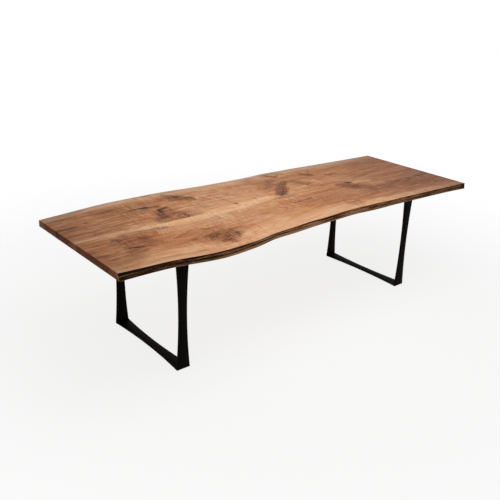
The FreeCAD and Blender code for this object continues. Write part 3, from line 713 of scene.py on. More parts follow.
def walnutEdge(name):
    finish = liveEdgeFinish
    material, tree, shader = newMaterial(name, IOR=1.45, Specular_IOR_Level=0.10, Roughness=0.78)
    place = placeInMm(tree)
    # tone from the relief: painted light on the crests, painted shade in the grooves, with some darker bark
    # there
    ridge = addNode(tree, "ShaderNodeAttribute", output="Fac", attribute_name="ridge")
    lift = addNode(tree, "ShaderNodeMath", (ridge, finish["ridgeLift"], finish["level"]),
                   operation="MULTIPLY_ADD")
    noises = surfacePatterns(tree, place, finish["patterns"])
    offsets = {}
    for pattern, amount in finish["lifts"].items():
        offset = addNode(tree, "ShaderNodeMath", (noises[pattern], noiseMiddle), operation="SUBTRACT")
        lift = addNode(tree, "ShaderNodeMath", (offset, amount, lift), operation="MULTIPLY_ADD")
        offsets[pattern] = offset
    pitFrom, pitFull = finish["pitRange"]
    pits = addNode(tree, "ShaderNodeMapRange", {
        "Value": noises["pit"], "From Min": pitFrom, "From Max": pitFull})
    lift = addNode(tree, "ShaderNodeMath", (pits, -finish["pitDepth"], lift), operation="MULTIPLY_ADD")
    along, _, height = addNode(tree, "ShaderNodeSeparateXYZ", (place,)).node.outputs
    down = addNode(tree, "ShaderNodeMath", (topZ, height), operation="SUBTRACT")
    down = addNode(tree, "ShaderNodeMath", (offsets["patch"], finish["wander"], down),
                   operation="MULTIPLY_ADD")
    # rim is painted shade, a dark line under the upper arris where the edge undercuts; foot pales the tone
    # towards the lower arris
    for band in ("rim", "foot"):
        start, full, amount = finish[band]
        bandLift = addNode(tree, "ShaderNodeMapRange", {
            "Value": down, "From Min": start, "From Max": full, "To Max": amount},
            interpolation_type="SMOOTHSTEP")
        lift = addNode(tree, "ShaderNodeMath", (bandLift, lift), operation="ADD")
    # painted light along the length, partly the edge's own tone: brighter in the middle, darker towards both
    # ends
    shareX = addNode(tree, "ShaderNodeMapRange", {"Value": along, "From Min": -tableX, "From Max": tableX})
    light = addNode(tree, "ShaderNodeFloatCurve", {"Value": shareX}, points=finish["light"])
    lift = addNode(tree, "ShaderNodeMath", (lift, light), operation="ADD")
    colour = addNode(tree, "ShaderNodeValToRGB", (lift,), stops=finish["tones"])
    relief = addNode(tree, "ShaderNodeMath", (noises["fibre"], noises["thread"]), operation="ADD")
    relief = addNode(tree, "ShaderNodeMath", (relief, pits), operation="SUBTRACT")
    strength, distance = finish["bump"]
    bump = addNode(tree, "ShaderNodeBump", {"Height": relief, "Strength": strength, "Distance": distance})
    feedShader(tree, shader, Base_Color=colour, Normal=bump)
    return material


# Planks: lofted along the grain between the joint and the live edge
plankShape = {
    "columnStep": 4 * mm,
    "topRows": 16, "edgeRows": 34, "bottomRows": 10,
    "topArris": 2.0 * mm, "lowArris": 1.5 * mm, "endEase": 1.6 * mm,
    "arrisTurns": (30, 60), "endTurns": (0, 30, 60),   # degrees round an eased edge
    "sharpAngle": 32,
    "beyond": 400 * mm,           # only the live edges lie further out than this
    "decimals": 5,                # of a metre, to which vertices share a place along the edge
    # two long grooves: place along the edge, in shares of the half length, and share of the way down
    "grooves": (
        ((-1.0, 0.30), (-0.7, 0.22), (-0.4, 0.12), (-0.15, 0.16), (0.15, 0.40), (0.5, 0.62), (1.0, 0.66)),
        ((-1.0, 0.72), (-0.65, 0.62), (-0.35, 0.52), (-0.08, 0.56), (0.2, 0.78), (0.6, 0.95), (1.0, 0.97)),
    ),
    "grooveWidth": 0.10, "grooveDepth": 2.6 * mm,
    "grooveFade": 170 * mm,                    # how soon a groove deepens or runs out
    "grooveRun": (0.1, 0.6, 1.2),              # least share of its depth, usual share and swing
    "grooveSeed": (7.0, 2.0),                  # sets the two grooves' fading apart
    "ridge": (230 * mm, 8.0 * mm, 3.0 * mm),   # length, height and depth of the long ridges
    "crease": (85 * mm, 3.8 * mm, 2.0 * mm),   # and of the creases between them
    "chip": (18 * mm, 3.0 * mm, 1.4 * mm),
    "layerSeed": 3.0,
    "swayLength": 210 * mm, "sway": 0.16,
    "reliefFade": 0.07,           # share of the thickness in which the relief dies out at each arris
    "proud": 2.7 * mm,            # the most that a crest stands out
    "fullRidge": 7.8 * mm,        # relief that counts as 1 in the ridge attribute
    "cutClearance": 0.1 * mm, "cutOverrun": 2 * mm, "cutSides": 32,
    "channelWall": 3 * mm, "channelClearance": 0.5 * mm, "channelOverrun": 5 * mm,
}


def liveEdge(node, height, outward):
    spots = {}
    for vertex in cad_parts[node].data.vertices:
        x, y, z = vertex.co
        if abs(z - height) < sameSpot and outward * y > plankShape["beyond"]:
            spots[round(x, plankShape["decimals"])] = outward * y
    xs = np.array(sorted(spots))
    ys = np.array([spots[x] for x in xs])
    return xs, ys, np.gradient(ys, xs)


# Smooth cubic through the edge's points
def readEdge(edge, x):
    xs, ys, slopes = edge
    at = np.clip(np.searchsorted(xs, x) - 1, 0, len(xs) - 2)
    span = xs[at + 1] - xs[at]
    t = np.clip((x - xs[at]) / span, 0, 1)
    near = (1 + 2 * t) * (1 - t) ** 2 * ys[at] + t * (1 - t) ** 2 * span * slopes[at]
    far = t * t * (3 - 2 * t) * ys[at + 1] - t * t * (1 - t) * span * slopes[at + 1]
    return near + far


# How far the live edge stands out at a place along it and a share of the way down
def edgeRelief(x, drop, thickness, seed):
    shape = plankShape
    level = drop + shape["sway"] * noise.noise((x / shape["swayLength"], seed, 0.0))
    least, usual, swing = shape["grooveRun"]
    step, start = shape["grooveSeed"]
    height = 0.0
    for at, groove in enumerate(shape["grooves"]):
        away = (level - np.interp(x / (tableX * mm), *zip(*groove))) / shape["grooveWidth"]
        depth = usual + swing * noise.noise((x / shape["grooveFade"], seed + step * at, start))
        height -= min(1.0, max(least, depth)) * shape["grooveDepth"] * math.exp(-away * away)
    for layer, name in enumerate(("ridge", "crease", "chip")):
        length, tall, deep = shape[name]
        layerSeed = seed + shape["layerSeed"] * layer
        height += deep * noise.noise((x / length, level * thickness / tall, layerSeed))
    fade = min(1.0, drop / shape["reliefFade"], (1.0 - drop) / shape["reliefFade"])
    return min(fade * height, shape["proud"])


# The box of each separate solid in a node
def solidBoxes(node):
    shape = bmesh.new()
    shape.from_mesh(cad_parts[node].data)
    bmesh.ops.remove_doubles(shape, verts=shape.verts, dist=sameSpot)
    left = set(shape.verts)
    boxes = []
    while left:
        stack = [left.pop()]
        low, high = stack[0].co.copy(), stack[0].co.copy()
        while stack:
            vertex = stack.pop()
            low = Vector(map(min, low, vertex.co))
            high = Vector(map(max, high, vertex.co))
            near = {edge.other_vert(vertex) for edge in vertex.link_edges} & left
            left -= near
            stack.extend(near)
        boxes.append((low, high))
    shape.free()
    return sorted(boxes, key=lambda box: tuple(box[0]))


# Mortises, insert holes and channel grooves, as one mesh to cut from both planks
def plankCutter():
    shape = bmesh.new()
    slack, overrun = plankShape["cutClearance"], plankShape["cutOverrun"]
    for node in ("left_frame_inserts", "right_frame_inserts", "channel_inserts"):
        for low, high in solidBoxes(node):
            tall = high.z - low.z + 2 * overrun
            radius = (high.x - low.x) / 2 + slack
            bmesh.ops.create_cone(
                shape, cap_ends=True, segments=plankShape["cutSides"], radius1=radius, radius2=radius,
                depth=tall, matrix=Matrix.Translation((low + high) / 2))
    for low, high in solidBoxes("joint_tenons"):
        size = high - low + Vector((slack, slack, slack)) * 2
        stretch = Matrix.Diagonal((*size, 1))
        bmesh.ops.create_cube(shape, matrix=Matrix.Translation((low + high) / 2) @ stretch)
    wall, room = plankShape["channelWall"], plankShape["channelClearance"]
    for node in ("left_channel", "right_channel"):
        low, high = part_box(node)
        middle = (low.x + high.x) / 2
        wide = (high.x - low.x) / 2 + room
        narrow = (high.x - low.x) / 2 - wall - room
        mouth, roof, crown = low.z - plankShape["channelOverrun"], low.z + wall, high.z + room
        outline = [(-wide, mouth), (-wide, crown), (-narrow, crown), (-narrow, roof),
                   (narrow, roof), (narrow, crown), (wide, crown), (wide, mouth)]
        ring = [shape.verts.new((middle + x, low.y - room, z)) for x, z in outline]
        face = shape.faces.new(ring)
        pulled = bmesh.ops.extrude_face_region(shape, geom=[face])["geom"]
        moved = [item for item in pulled if isinstance(item, bmesh.types.BMVert)]
        bmesh.ops.translate(shape, verts=moved, vec=(0, high.y - low.y + 2 * room, 0))
    bmesh.ops.recalc_face_normals(shape, faces=shape.faces)
    mesh = bpy.data.meshes.new("plank cutter")
    shape.to_mesh(mesh)
    shape.free()
    return mesh


# Places along the plank, close together round its eased ends, and how far each is eased
def plankColumns(start, end):
    ease = plankShape["endEase"]
    turn = np.radians(plankShape["endTurns"])
    steps = round((end - start) / plankShape["columnStep"])
    columns = np.linspace(start + ease, end - ease, steps + 1)
    out, back = ease * (1 - np.cos(turn)), ease * (1 - np.sin(turn))
    x = np.concatenate((start + out, columns, (end - out)[::-1]))
    return x, np.concatenate((back, 0 * columns, back[::-1]))


# Rows of points from the joint over the top, down the live edge and back along the underside, and which
# of them are the live edge
def plankRows(x, inset, low, high, upper, lower, outward, seed):
    shape = plankShape
    joint = jointY * mm
    reachTop, reachLow = readEdge(upper, x) - inset, readEdge(lower, x) - inset
    topLevel, lowLevel = high.z - inset, low.z + inset
    thickness = high.z - low.z
    topArris, lowArris = shape["topArris"], shape["lowArris"]
    rows = []
    for share in np.linspace(0, 1, shape["topRows"]):
        rows.append((joint + share * (outward * (reachTop - topArris) - joint), topLevel))
    for angle in np.radians(shape["arrisTurns"]):
        rows.append((outward * (reachTop - topArris * (1 - math.sin(angle))),
                     topLevel - topArris * (1 - math.cos(angle))))
    edgeStart = len(rows)
    for drop in np.linspace(topArris / thickness, 1 - lowArris / thickness, shape["edgeRows"]):
        relief = np.array([edgeRelief(at, drop, thickness, seed) for at in x])
        y = np.clip(outward * (reachTop + (reachLow - reachTop) * drop + relief), low.y, high.y)
        rows.append((y, topLevel - drop * (topLevel - lowLevel)))
    edgeEnd = len(rows)
    for angle in np.radians(shape["arrisTurns"]):
        rows.append((outward * (reachLow - lowArris * (1 - math.cos(angle))),
                     lowLevel + lowArris * (1 - math.sin(angle))))
    for share in np.linspace(1, 0, shape["bottomRows"]):
        rows.append((joint + share * (outward * (reachLow - lowArris) - joint), lowLevel))
    return rows, range(edgeStart - 1, edgeEnd)


# Faces between the rows, each with its finish: 0 face, 1 end grain, 2 live edge
def loftedMesh(name, x, rows, edgeRows, materials):
    count, rowCount = len(x), len(rows)
    points = np.empty((count, rowCount, 3))
    points[:, :, 0] = x[:, None]
    for at, (y, z) in enumerate(rows):
        points[:, at, 1] = y
        points[:, at, 2] = z
    eased = len(plankShape["endTurns"])
    faces, kinds = [], []
    for column in range(count - 1):
        for row in range(rowCount):
            nextRow = (row + 1) % rowCount
            faces.append((column * rowCount + row, (column + 1) * rowCount + row,
                          (column + 1) * rowCount + nextRow, column * rowCount + nextRow))
            onEnd = not eased <= column < count - 1 - eased
            kinds.append(1 if onEnd else 2 if row in edgeRows else 0)
    faces.append(tuple(range(rowCount)))
    faces.append(tuple((count - 1) * rowCount + row for row in reversed(range(rowCount))))
    kinds += [1, 1]
    mesh = bpy.data.meshes.new(name)
    mesh.from_pydata(points.reshape(-1, 3).tolist(), [], faces)
    for material in materials:
        mesh.materials.append(material)
    mesh.polygons.foreach_set("material_index", kinds)
    shape = bmesh.new()
    shape.from_mesh(mesh)
    bmesh.ops.recalc_face_normals(shape, faces=shape.faces)
    shape.to_mesh(mesh)
    shape.free()
    return mesh


def cutSockets(name, mesh, cutter):
    blank = bpy.data.objects.new(name + "Blank", mesh)
    tool = bpy.data.objects.new(name + "Tool", cutter)
    scene.collection.objects.link(blank)
    scene.collection.objects.link(tool)
    cut = blank.modifiers.new("sockets", "BOOLEAN")
    cut.operation = "DIFFERENCE"
    cut.solver = "EXACT"
    cut.object = tool
    finished = bpy.data.meshes.new_from_object(blank.evaluated_get(bpy.context.evaluated_depsgraph_get()))
    bpy.data.objects.remove(blank)
    bpy.data.objects.remove(tool)
    finished.name = name
    return finished


def plankMesh(name, node, outward, seed, cutter, materials):
    low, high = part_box(node)
    thickness = high.z - low.z
    upper, lower = liveEdge(node, high.z, outward), liveEdge(node, low.z, outward)
    x, inset = plankColumns(low.x, high.x)
    rows, edgeRows = plankRows(x, inset, low, high, upper, lower, outward, seed)
    mesh = cutSockets(name, loftedMesh(name, x, rows, edgeRows, materials), cutter)
    spots = np.empty(len(mesh.vertices) * 3)
    mesh.vertices.foreach_get("co", spots)
    spots = spots.reshape(-1, 3)
    toEdge = np.maximum(0, readEdge(upper, spots[:, 0]) - outward * spots[:, 1]) / mm
    drops = (high.z - spots[:, 2]) / thickness
    ridge = [edgeRelief(at, drop, thickness, seed) / plankShape["fullRidge"]
             for (at, _, _), drop in zip(spots, drops)]
    for attribute, values in (("toEdge", toEdge), ("ridge", ridge)):
        mesh.attributes.new(attribute, "FLOAT", "POINT").data.foreach_set("value", np.float32(values))
    smoothFaces(mesh, plankShape["sharpAngle"])
    return mesh


cutter = plankCutter()
for node, outward, figure in (("front_plank", -1, frontFigure), ("rear_plank", 1, rearFigure)):
    title = node.replace("_", " ")
    figureTree = boardFigure(title + " figure", figure, outward)
    finishes = (walnutFace(title + " oiled walnut", figureTree),
                walnutEnd(title + " walnut end grain", figureTree),
                walnutEdge(title + " walnut live edge"))
    mesh = plankMesh(node + "_walnut", node, outward, figure["seed"] * mm, cutter, finishes)
    addPiece(node + "_walnut", mesh, (node,), "walnut")
    print("plank:", node, len(mesh.polygons), "faces")
bpy.data.meshes.remove(cutter)


# A finish whose colour, sheen and relief all follow one grain, with pattern sizes in mm
def grainFinish(name, finish, **sockets):
    material, tree, shader = newMaterial(name, **sockets)
    noises = surfacePatterns(tree, placeInMm(tree), finish["patterns"])
    grain = shade = noises["grain"]
    if "cloud" in noises:
        shade = addNode(tree, "ShaderNodeMix", {0: finish["grainShare"], 2: noises["cloud"], 3: grain})
    tone = addNode(tree, "ShaderNodeValToRGB", (shade,), stops=finish["tones"])
    smooth, dull = finish["rough"]
    rough = addNode(tree, "ShaderNodeMapRange", {"Value": grain, "To Min": smooth, "To Max": dull})
    feedShader(tree, shader, Base_Color=tone, Roughness=rough)
    if "bump" in finish:
        strength, distance = finish["bump"]
        bump = addNode(tree, "ShaderNodeBump", {"Height": grain, "Strength": strength, "Distance": distance})
        feedShader(tree, shader, Normal=bump)
    return material


# Black powder coat on steel plate: near-black, matt, with a fine orange-peel texture
powderFinish = {
    "patterns": {"grain": ((2.2, 2.2, 2.2), 2.0, 0.5), "cloud": ((120, 120, 120), 3.0, 0.5)},
    "grainShare": 0.6,                # of the tone; slow clouds make the rest
    "tones": ((0.36, "#020100"), (0.64, "#0c0704")),
    "rough": (0.50, 0.70),
    "bump": (0.6, 0.3 * mm),
}
powderCoat = grainFinish("black powder coat", powderFinish, IOR=1.5, Specular_IOR_Level=0.03)

# Bright zinc plate on turned steel: blue-grey, softly mirrored, with faint blotches
zincFinish = {
    "patterns": {"grain": ((6, 6, 6), 3.0, 0.5)},
    "tones": ((0.3, "#9a9da0"), (0.7, "#c3c6c8")),
    "rough": (0.26, 0.46),
}
zincPlate = grainFinish("zinc plated steel", zincFinish, Metallic=1.0)

# Cold-rolled channel under a thin black lacquer: satin, with drawing lines along its length
channelFinish = {
    "patterns": {"grain": ((0.9, 160, 0.9), 2.0, 0.5)},  # drawn coarser than real lines so that they show
    "tones": ((0.3, "#151515"), (0.7, "#232222")),
    "rough": (0.42, 0.62),
    "bump": (0.2, 0.1 * mm),
}
channelSteel = grainFinish("lacquered channel steel", channelFinish, IOR=1.5, Specular_IOR_Level=0.3)

# Moulded black nylon: dull, with a fine spark-eroded grain
nylonFinish = {
    "patterns": {"grain": ((0.8, 0.8, 0.8), 2.0, 0.5)},  # drawn coarser than the real grain so that it shows
    "tones": ((0.3, "#131313"), (0.7, "#1d1d1c")),
    "rough": (0.5, 0.7),
    "bump": (0.3, 0.1 * mm),
}
nylon = grainFinish("moulded black nylon", nylonFinish, IOR=1.53, Specular_IOR_Level=0.35)

# Planed beech: pale pink-brown with short dark flecks along the grain, which runs across the joint
beechFinish = {
    "patterns": {"grain": ((1.2, 40, 1.2), 3.0, 0.5), "fleck": ((0.8, 4, 0.8), 1.0, 0.5)},
    "tones": ((0.3, "#bd8f66"), (0.7, "#d6ac83")),
    "fleckRange": (0.62, 0.7), "fleckShade": 0.72,
}
beech, tree, shader = newMaterial("planed beech", IOR=1.45, Specular_IOR_Level=0.25, Roughness=0.6)
noises = surfacePatterns(tree, placeInMm(tree), beechFinish["patterns"])
fleckFrom, fleckFull = beechFinish["fleckRange"]
fleck = addNode(tree, "ShaderNodeMapRange", {
    "Value": noises["fleck"], "From Min": fleckFrom, "From Max": fleckFull,
    "To Min": 1.0, "To Max": beechFinish["fleckShade"]})
tone = addNode(tree, "ShaderNodeValToRGB", (noises["grain"],), stops=beechFinish["tones"])
tone = addNode(tree, "ShaderNodeVectorMath", {0: tone, "Scale": fleck}, operation="SCALE")
feedShader(tree, shader, Base_Color=tone)
print("materials:", len(bpy.data.materials))


# The mesh that a tree grows from its named inputs
def grow(name, tree, **values):
    grown = bpy.data.objects.new(name, bpy.data.meshes.new(name))
    scene.collection.objects.link(grown)
    modifier = grown.modifiers.new("grow", "NODES")
    modifier.node_group = tree
    for socket in tree.interface.items_tree:
        if socket.in_out == "INPUT":
            modifier[socket.identifier] = values[socket.name.replace(" ", "")]
    mesh = bpy.data.meshes.new_from_object(grown.evaluated_get(bpy.context.evaluated_depsgraph_get()))
    bpy.data.objects.remove(grown)
    mesh.name = name
    return mesh


# Frame plates: flat steel that narrows to a waist, cut to a mitre where leg and floor bar meet
halfTurn = Matrix.Rotation(math.pi, 4, "Z")
framePlates = {
    "waist": 55 * mm,
    "edgeRadius": 0.9 * mm,
    "stations": 61,
    "edgeSteps": 3,
    "sharpAngle": 32,
    "turns": {  # from a plate that stands with its inner face towards +Y
        "front_leg": Matrix.Identity(4),
        "rear_leg": halfTurn,
        "floor_bar": halfTurn @ Matrix.Rotation(math.pi / 2, 4, "X"),
    },
}

plateTree, given = newGroup(
    "waisted plate", "GeometryNodeTree",
    {"Length": "Float", "Corner Width": "Float", "Waist Width": "Float", "Thickness": "Float",
     "Edge Radius": "Float", "Foot Mitre": "Float", "Head Mitre": "Float", "Stations": "Int",
     "Edge Steps": "Int", "Finish": "Material"}, {"Plate": "Geometry"})
tip = addNode(plateTree, "ShaderNodeCombineXYZ", {"Z": given["Length"]})
spine = addNode(plateTree, "GeometryNodeCurvePrimitiveLine", {"End": tip})
spine = addNode(plateTree, "GeometryNodeResampleCurve", {"Curve": spine, "Count": given["Stations"]})
section = addNode(plateTree, "GeometryNodeCurvePrimitiveQuadrilateral", {
    "Width": given["Corner Width"], "Height": given["Thickness"]})
section = addNode(plateTree, "GeometryNodeFilletCurve", {
    "Curve": section, "Count": given["Edge Steps"], "Radius": given["Edge Radius"]}, mode="POLY")
plate = addNode(plateTree, "GeometryNodeCurveToMesh", {
    "Curve": spine, "Profile Curve": section, "Fill Caps": True})
spot = addNode(plateTree, "GeometryNodeInputPosition")
wide, deep, along = addNode(plateTree, "ShaderNodeSeparateXYZ", (spot,)).node.outputs
bow = addNode(plateTree, "ShaderNodeMath", (along, given["Length"]), operation="DIVIDE")
bow = addNode(plateTree, "ShaderNodeMath", (bow, 2.0, -1.0), operation="MULTIPLY_ADD")  # -1 to 1 along it
bow = addNode(plateTree, "ShaderNodeMath", (bow, bow), operation="MULTIPLY")
waist = addNode(plateTree, "ShaderNodeMath", (given["Waist Width"], given["Corner Width"]),
                operation="DIVIDE")
narrow = addNode(plateTree, "ShaderNodeMapRange", {"Value": bow, "To Min": waist, "To Max": 1.0})
wide = addNode(plateTree, "ShaderNodeMath", (wide, narrow), operation="MULTIPLY")
inward = addNode(plateTree, "ShaderNodeMath", (deep, given["Thickness"]), operation="DIVIDE")
inward = addNode(plateTree, "ShaderNodeMath", (inward, 0.5), operation="ADD")           # 0 to 1 through it
headFrom = addNode(plateTree, "ShaderNodeMath", (given["Length"], given["Edge Radius"]), operation="SUBTRACT")
atHead = addNode(plateTree, "ShaderNodeMath", (along, headFrom), operation="GREATER_THAN")
atFoot = addNode(plateTree, "ShaderNodeMath", (along, given["Edge Radius"]), operation="LESS_THAN")
cutHead = addNode(plateTree, "ShaderNodeMath", (atHead, given["Head Mitre"]), operation="MULTIPLY")
cutFoot = addNode(plateTree, "ShaderNodeMath", (atFoot, given["Foot Mitre"]), operation="MULTIPLY")
cut = addNode(plateTree, "ShaderNodeMath", (cutFoot, cutHead), operation="SUBTRACT")
along = addNode(plateTree, "ShaderNodeMath", (inward, cut, along), operation="MULTIPLY_ADD")
spot = addNode(plateTree, "ShaderNodeCombineXYZ", (wide, deep, along))
plate = addNode(plateTree, "GeometryNodeSetPosition", {"Geometry": plate, "Position": spot})
plate = addNode(plateTree, "GeometryNodeRealizeInstances", {"Geometry": plate})
plate = addNode(plateTree, "GeometryNodeSetMaterial", {"Geometry": plate, "Material": given["Finish"]})
addNode(plateTree, "NodeGroupOutput", {"Plate": plate})


# A weld bead: a rippled round along an inside corner
weld = {
    "radius": 3.2 * mm, "pitch": 3.0 * mm,
    "ripple": 0.10, "wander": 9 * mm,  # swell of each ripple, and how soon the bead grows fuller or leaner
    "stations": 121, "sides": 14,
    "endGap": 4 * mm,
    "sharpAngle": 60,
}

weldTree, given = newGroup(
    "weld bead", "GeometryNodeTree",
    {"Length": "Float", "Radius": "Float", "Pitch": "Float", "Ripple": "Float", "Wander": "Float",
     "Stations": "Int", "Sides": "Int", "Finish": "Material"}, {"Bead": "Geometry"})
tip = addNode(weldTree, "ShaderNodeCombineXYZ", {"X": given["Length"]})
seam = addNode(weldTree, "GeometryNodeCurvePrimitiveLine", {"End": tip})
seam = addNode(weldTree, "GeometryNodeResampleCurve", {"Curve": seam, "Count": given["Stations"]})
spot = addNode(weldTree, "GeometryNodeInputPosition")
along = addNode(weldTree, "ShaderNodeSeparateXYZ", (spot,), output="X")
wave = addNode(weldTree, "ShaderNodeMath", (along, given["Pitch"]), operation="DIVIDE")
wave = addNode(weldTree, "ShaderNodeMath", (wave,), operation="FRACT")
wander = addNode(weldTree, "ShaderNodeMath", (1.0, given["Wander"]), operation="DIVIDE")
wander = addNode(weldTree, "ShaderNodeTexNoise", {"Vector": spot, "Scale": wander})
wave = addNode(weldTree, "ShaderNodeMath", (wave, wander), operation="ADD")
swell = addNode(weldTree, "ShaderNodeMath", (wave, given["Ripple"], 1.0), operation="MULTIPLY_ADD")
ring = addNode(weldTree, "GeometryNodeCurvePrimitiveCircle", {
    "Resolution": given["Sides"], "Radius": given["Radius"]})
bead = addNode(weldTree, "GeometryNodeCurveToMesh", {
    "Curve": seam, "Profile Curve": ring, "Scale": swell, "Fill Caps": True})
bead = addNode(weldTree, "GeometryNodeRealizeInstances", {"Geometry": bead})
bead = addNode(weldTree, "GeometryNodeSetMaterial", {"Geometry": bead, "Material": given["Finish"]})
addNode(weldTree, "NodeGroupOutput", {"Bead": bead})


def joinMeshes(name, meshes):
    shape = bmesh.new()
    for mesh in meshes:
        shape.from_mesh(mesh)
        bpy.data.meshes.remove(mesh)
    joined = bpy.data.meshes.new(name)
    shape.to_mesh(joined)
    shape.free()
    return joined


for side in ("left", "right"):
    frameName = side + "_frame_"
    for member, turn in framePlates["turns"].items():
        low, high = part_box(frameName + member)
        size = high - low
        foot = (low + high) / 2
        upright = member != "floor_bar"
        if upright:
            length, thickness = size.z, size.y
            foot.z = low.z
        else:
            length, thickness = size.y, size.z
            foot.y = low.y
        mesh = grow(frameName + member + "_plate", plateTree, Length=length, CornerWidth=size.x,
                    WaistWidth=framePlates["waist"], Thickness=thickness,
                    EdgeRadius=framePlates["edgeRadius"], FootMitre=thickness,
                    HeadMitre=0.0 if upright else thickness, Stations=framePlates["stations"],
                    EdgeSteps=framePlates["edgeSteps"], Finish=powderCoat)
        mesh.transform(Matrix.Translation(foot) @ turn)
        smoothFaces(mesh, framePlates["sharpAngle"])
        addPiece(frameName + member + "_plate", mesh, (frameName + member,), "powder_coat")

    # fillet welds inside the four corners
    beads = []
    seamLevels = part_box(frameName + "floor_bar")[1].z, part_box(frameName + "top_bar")[0].z
    for leg, inner in (("front_leg", 1), ("rear_leg", 0)):
        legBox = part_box(frameName + leg)
        length = legBox[1].x - legBox[0].x - 2 * weld["endGap"]
        for seamZ in seamLevels:
            bead = grow("bead", weldTree, Length=length, Radius=weld["radius"], Pitch=weld["pitch"],
                        Ripple=weld["ripple"], Wander=weld["wander"], Stations=weld["stations"],
                        Sides=weld["sides"], Finish=powderCoat)
            bead.transform(Matrix.Translation((legBox[0].x + weld["endGap"], legBox[inner].y, seamZ)))
            beads.append(bead)
    mesh = joinMeshes(frameName + "welds", beads)
    smoothFaces(mesh, weld["sharpAngle"])
    addPiece(frameName + "welds", mesh, (), "powder_coat", powderCoat)
print("frames: plates and welds")


# Bars and channels keep their sawn shape, with the sharp edges broken
easedEdges = {
    "flatAngle": 1,                   # degrees: faces that meet at less become one
    "cornerAngle": 40,                # and edges that turn more are broken
    "segments": 2, "profile": 0.5,
    "sharpAngle": 15,                 # keeps the flat faces flat beside their eased edges
    "nodes": {
        "left_frame_top_bar": (0.6 * mm, "powder_coat", powderCoat),
        "right_frame_top_bar": (0.6 * mm, "powder_coat", powderCoat),
        "left_channel": (0.4 * mm, "channel_steel", channelSteel),
        "right_channel": (0.4 * mm, "channel_steel", channelSteel),
    },
}


def easedCopy(name, node, ease):
    shape = bmesh.new()
    shape.from_mesh(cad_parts[node].data)
    bmesh.ops.remove_doubles(shape, verts=shape.verts, dist=sameSpot)
    bmesh.ops.dissolve_limit(
        shape, angle_limit=math.radians(easedEdges["flatAngle"]), verts=shape.verts, edges=shape.edges)
    corner = math.radians(easedEdges["cornerAngle"])
    sharp = [edge for edge in shape.edges if len(edge.link_faces) == 2 and edge.calc_face_angle() > corner]
    bmesh.ops.bevel(shape, geom=sharp, offset=ease, offset_type="OFFSET", segments=easedEdges["segments"],
                    profile=easedEdges["profile"], affect="EDGES", clamp_overlap=True)
    mesh = bpy.data.meshes.new(name)
    shape.to_mesh(mesh)
    shape.free()
    smoothFaces(mesh, easedEdges["sharpAngle"])
    return mesh


for node, (ease, slot, finish) in easedEdges["nodes"].items():
    addPiece(node + "_eased", easedCopy(node + "_eased", node, ease), (node,), slot, finish)
print("bars and channels:", len(easedEdges["nodes"]))


# Screws, washers and glides: all round, with their outer sizes from the frame
hardware = {
    "sharpAngle": 40,
    "decimals": 4,                    # of a metre, to which fasteners share a row
    "threadShare": 0.54,              # depth of a thread in pitches
    "socketLip": 0.05,                # bevel round the hex socket, in head heights
    # a button head from its crown down: radius in head widths, and height in head heights
    "headProfile": ((0.36, 0), (0.44, 0.22), (0.49, 0.6), (0.5, 0.85), (0.5, 1)),
    "bolt": {"shank": 8 * mm, "pitch": 1.25 * mm, "socket": 5 * mm, "socketDepth": 2.5 * mm,
             "headHeight": 4.4 * mm, "sides": 36},
    "screw": {"shank": 6 * mm, "pitch": 1.0 * mm, "socket": 4 * mm, "socketDepth": 1.9 * mm,
              "headHeight": 3.4 * mm, "sides": 36},
    "washer": {"hole": 8.4 * mm, "edge": 0.35 * mm, "sides": 36},
    "glide": {"stem": 8 * mm, "edge": 1.0 * mm, "bulge": 0.3, "pad": 2 * mm, "sides": 72},
}


# A round piece from rings of radius and height, with True after those that are hexagonal
def turnedMesh(name, rings, sides, hollow):
    shape = bmesh.new()
    sixth = math.pi / 3
    loops = []
    for radius, height, *hexagonal in rings:
        loop = []
        for step in range(sides if radius > 0 else 1):
            angle = 2 * math.pi * step / sides
            flat = math.cos(math.fmod(angle, sixth) - sixth / 2) / math.cos(sixth / 2)
            reach = radius / flat if hexagonal else radius
            loop.append(shape.verts.new((reach * math.cos(angle), reach * math.sin(angle), height)))
        loops.append(loop)
    for first, second in zip(loops, loops[1:] + loops[:1] if hollow else loops[1:]):
        for step in range(sides):
            corners = [first[step % len(first)], first[(step + 1) % len(first)],
                       second[(step + 1) % len(second)], second[step % len(second)]]
            shape.faces.new(list(dict.fromkeys(corners)))
    bmesh.ops.recalc_face_normals(shape, faces=shape.faces)
    mesh = bpy.data.meshes.new(name)
    shape.to_mesh(mesh)
    shape.free()
    smoothFaces(mesh, hardware["sharpAngle"])
    return mesh


def screwTemplate(size, settings):
    headHeight, pitch, deep = settings["headHeight"], settings["pitch"], settings["socketDepth"]
    socket, shank = settings["socket"] / 2, settings["shank"] / 2
    core = shank - hardware["threadShare"] * pitch
    rings = [(0, deep), (socket, deep, True), (socket, hardware["socketLip"] * headHeight, True)]
    rings += [(wide * size.x, down * headHeight) for wide, down in hardware["headProfile"]]
    rings.append((shank, headHeight))
    height = headHeight + pitch
    while height < size.z - pitch:
        rings += [(core, height), (shank, height + pitch / 2)]
        height += pitch
    rings += [(core, size.z), (0, size.z)]
    return turnedMesh("screw", rings, settings["sides"], False)


def washerTemplate(size, settings):
    inner, outer, edge = settings["hole"] / 2, size.x / 2, settings["edge"]
    rings = [(inner, 0), (outer - edge, 0), (outer, edge), (outer, size.z - edge),
             (outer - edge, size.z), (inner, size.z)]
    return turnedMesh("washer", rings, settings["sides"], True)


def glideTemplate(size, settings):
    outer, edge, pad, stem = size.x / 2, settings["edge"], settings["pad"], settings["stem"] / 2
    bulge = settings["bulge"] * edge
    rings = [(0, 0), (outer - edge, 0), (outer - bulge, bulge), (outer, edge),
             (outer, pad), (stem, pad), (stem, size.z), (0, size.z)]
    return turnedMesh("glide", rings, settings["sides"], False)


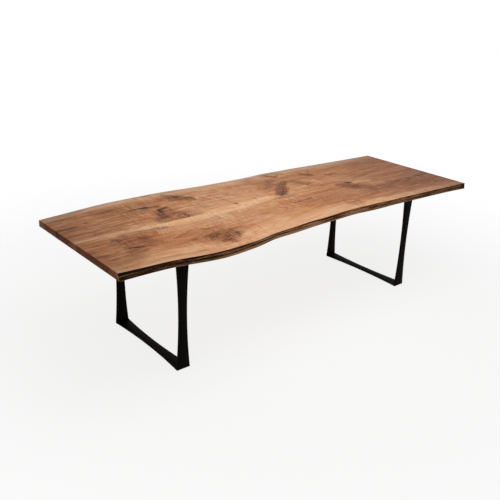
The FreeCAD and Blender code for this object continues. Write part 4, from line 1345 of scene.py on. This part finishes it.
fastenerTree, given = newGroup(
    "fastener rows", "GeometryNodeTree",
    {"Template": "Object", "Columns": "Int", "Rows": "Int", "Width": "Float", "Depth": "Float",
     "Middle": "Vector", "Finish": "Material"}, {"Fasteners": "Geometry"})
grid = addNode(fastenerTree, "GeometryNodeMeshGrid", {
    "Size X": given["Width"], "Size Y": given["Depth"],
    "Vertices X": given["Columns"], "Vertices Y": given["Rows"]})
grid = addNode(fastenerTree, "GeometryNodeTransform", {"Geometry": grid, "Translation": given["Middle"]})
shape = addNode(fastenerTree, "GeometryNodeObjectInfo", {"Object": given["Template"]}, "Geometry")
rows = addNode(fastenerTree, "GeometryNodeInstanceOnPoints", {"Points": grid, "Instance": shape})
rows = addNode(fastenerTree, "GeometryNodeRealizeInstances", {"Geometry": rows})
rows = addNode(fastenerTree, "GeometryNodeSetMaterial", {"Geometry": rows, "Material": given["Finish"]})
addNode(fastenerTree, "NodeGroupOutput", {"Fasteners": rows})


def fastenerPiece(name, nodes, kind, template, slot, finish):
    boxes = [box for node in nodes for box in solidBoxes(node)]
    low, high = boxes[0]
    middles = [(start + end) / 2 for start, end in boxes]
    columns = sorted({round(spot.x, hardware["decimals"]) for spot in middles})
    rows = sorted({round(spot.y, hardware["decimals"]) for spot in middles})
    model = bpy.data.objects.new(name + "Model", template(high - low, hardware[kind]))
    scene.collection.objects.link(model)
    middle = Vector(((columns[0] + columns[-1]) / 2, (rows[0] + rows[-1]) / 2, low.z))
    mesh = grow(name, fastenerTree, Template=model, Columns=len(columns), Rows=len(rows),
                Width=columns[-1] - columns[0], Depth=rows[-1] - rows[0], Middle=middle, Finish=finish)
    bpy.data.objects.remove(model)
    addPiece(name, mesh, nodes, slot)


for side in ("left", "right"):
    fastenerPiece(side + "_frame_socket_bolts", (side + "_frame_bolts",), "bolt", screwTemplate,
                  "zinc_plated_steel", zincPlate)
    fastenerPiece(side + "_frame_flat_washers", (side + "_frame_washers",), "washer", washerTemplate,
                  "zinc_plated_steel", zincPlate)
    fastenerPiece(side + "_frame_glides", (side + "_frame_front_glide", side + "_frame_rear_glide"), "glide",
                  glideTemplate, "nylon", nylon)
fastenerPiece("channel_socket_screws", ("channel_screws",), "screw", screwTemplate,
              "zinc_plated_steel", zincPlate)

# What stays inside the wood keeps its solids
for node, finish in (("joint_tenons", beech), ("channel_inserts", zincPlate),
                     ("left_frame_inserts", zincPlate), ("right_frame_inserts", zincPlate)):
    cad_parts[node].data.materials.clear()
    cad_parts[node].data.materials.append(finish)
print("hardware: bolts, washers, screws, glides, inserts and tenons")
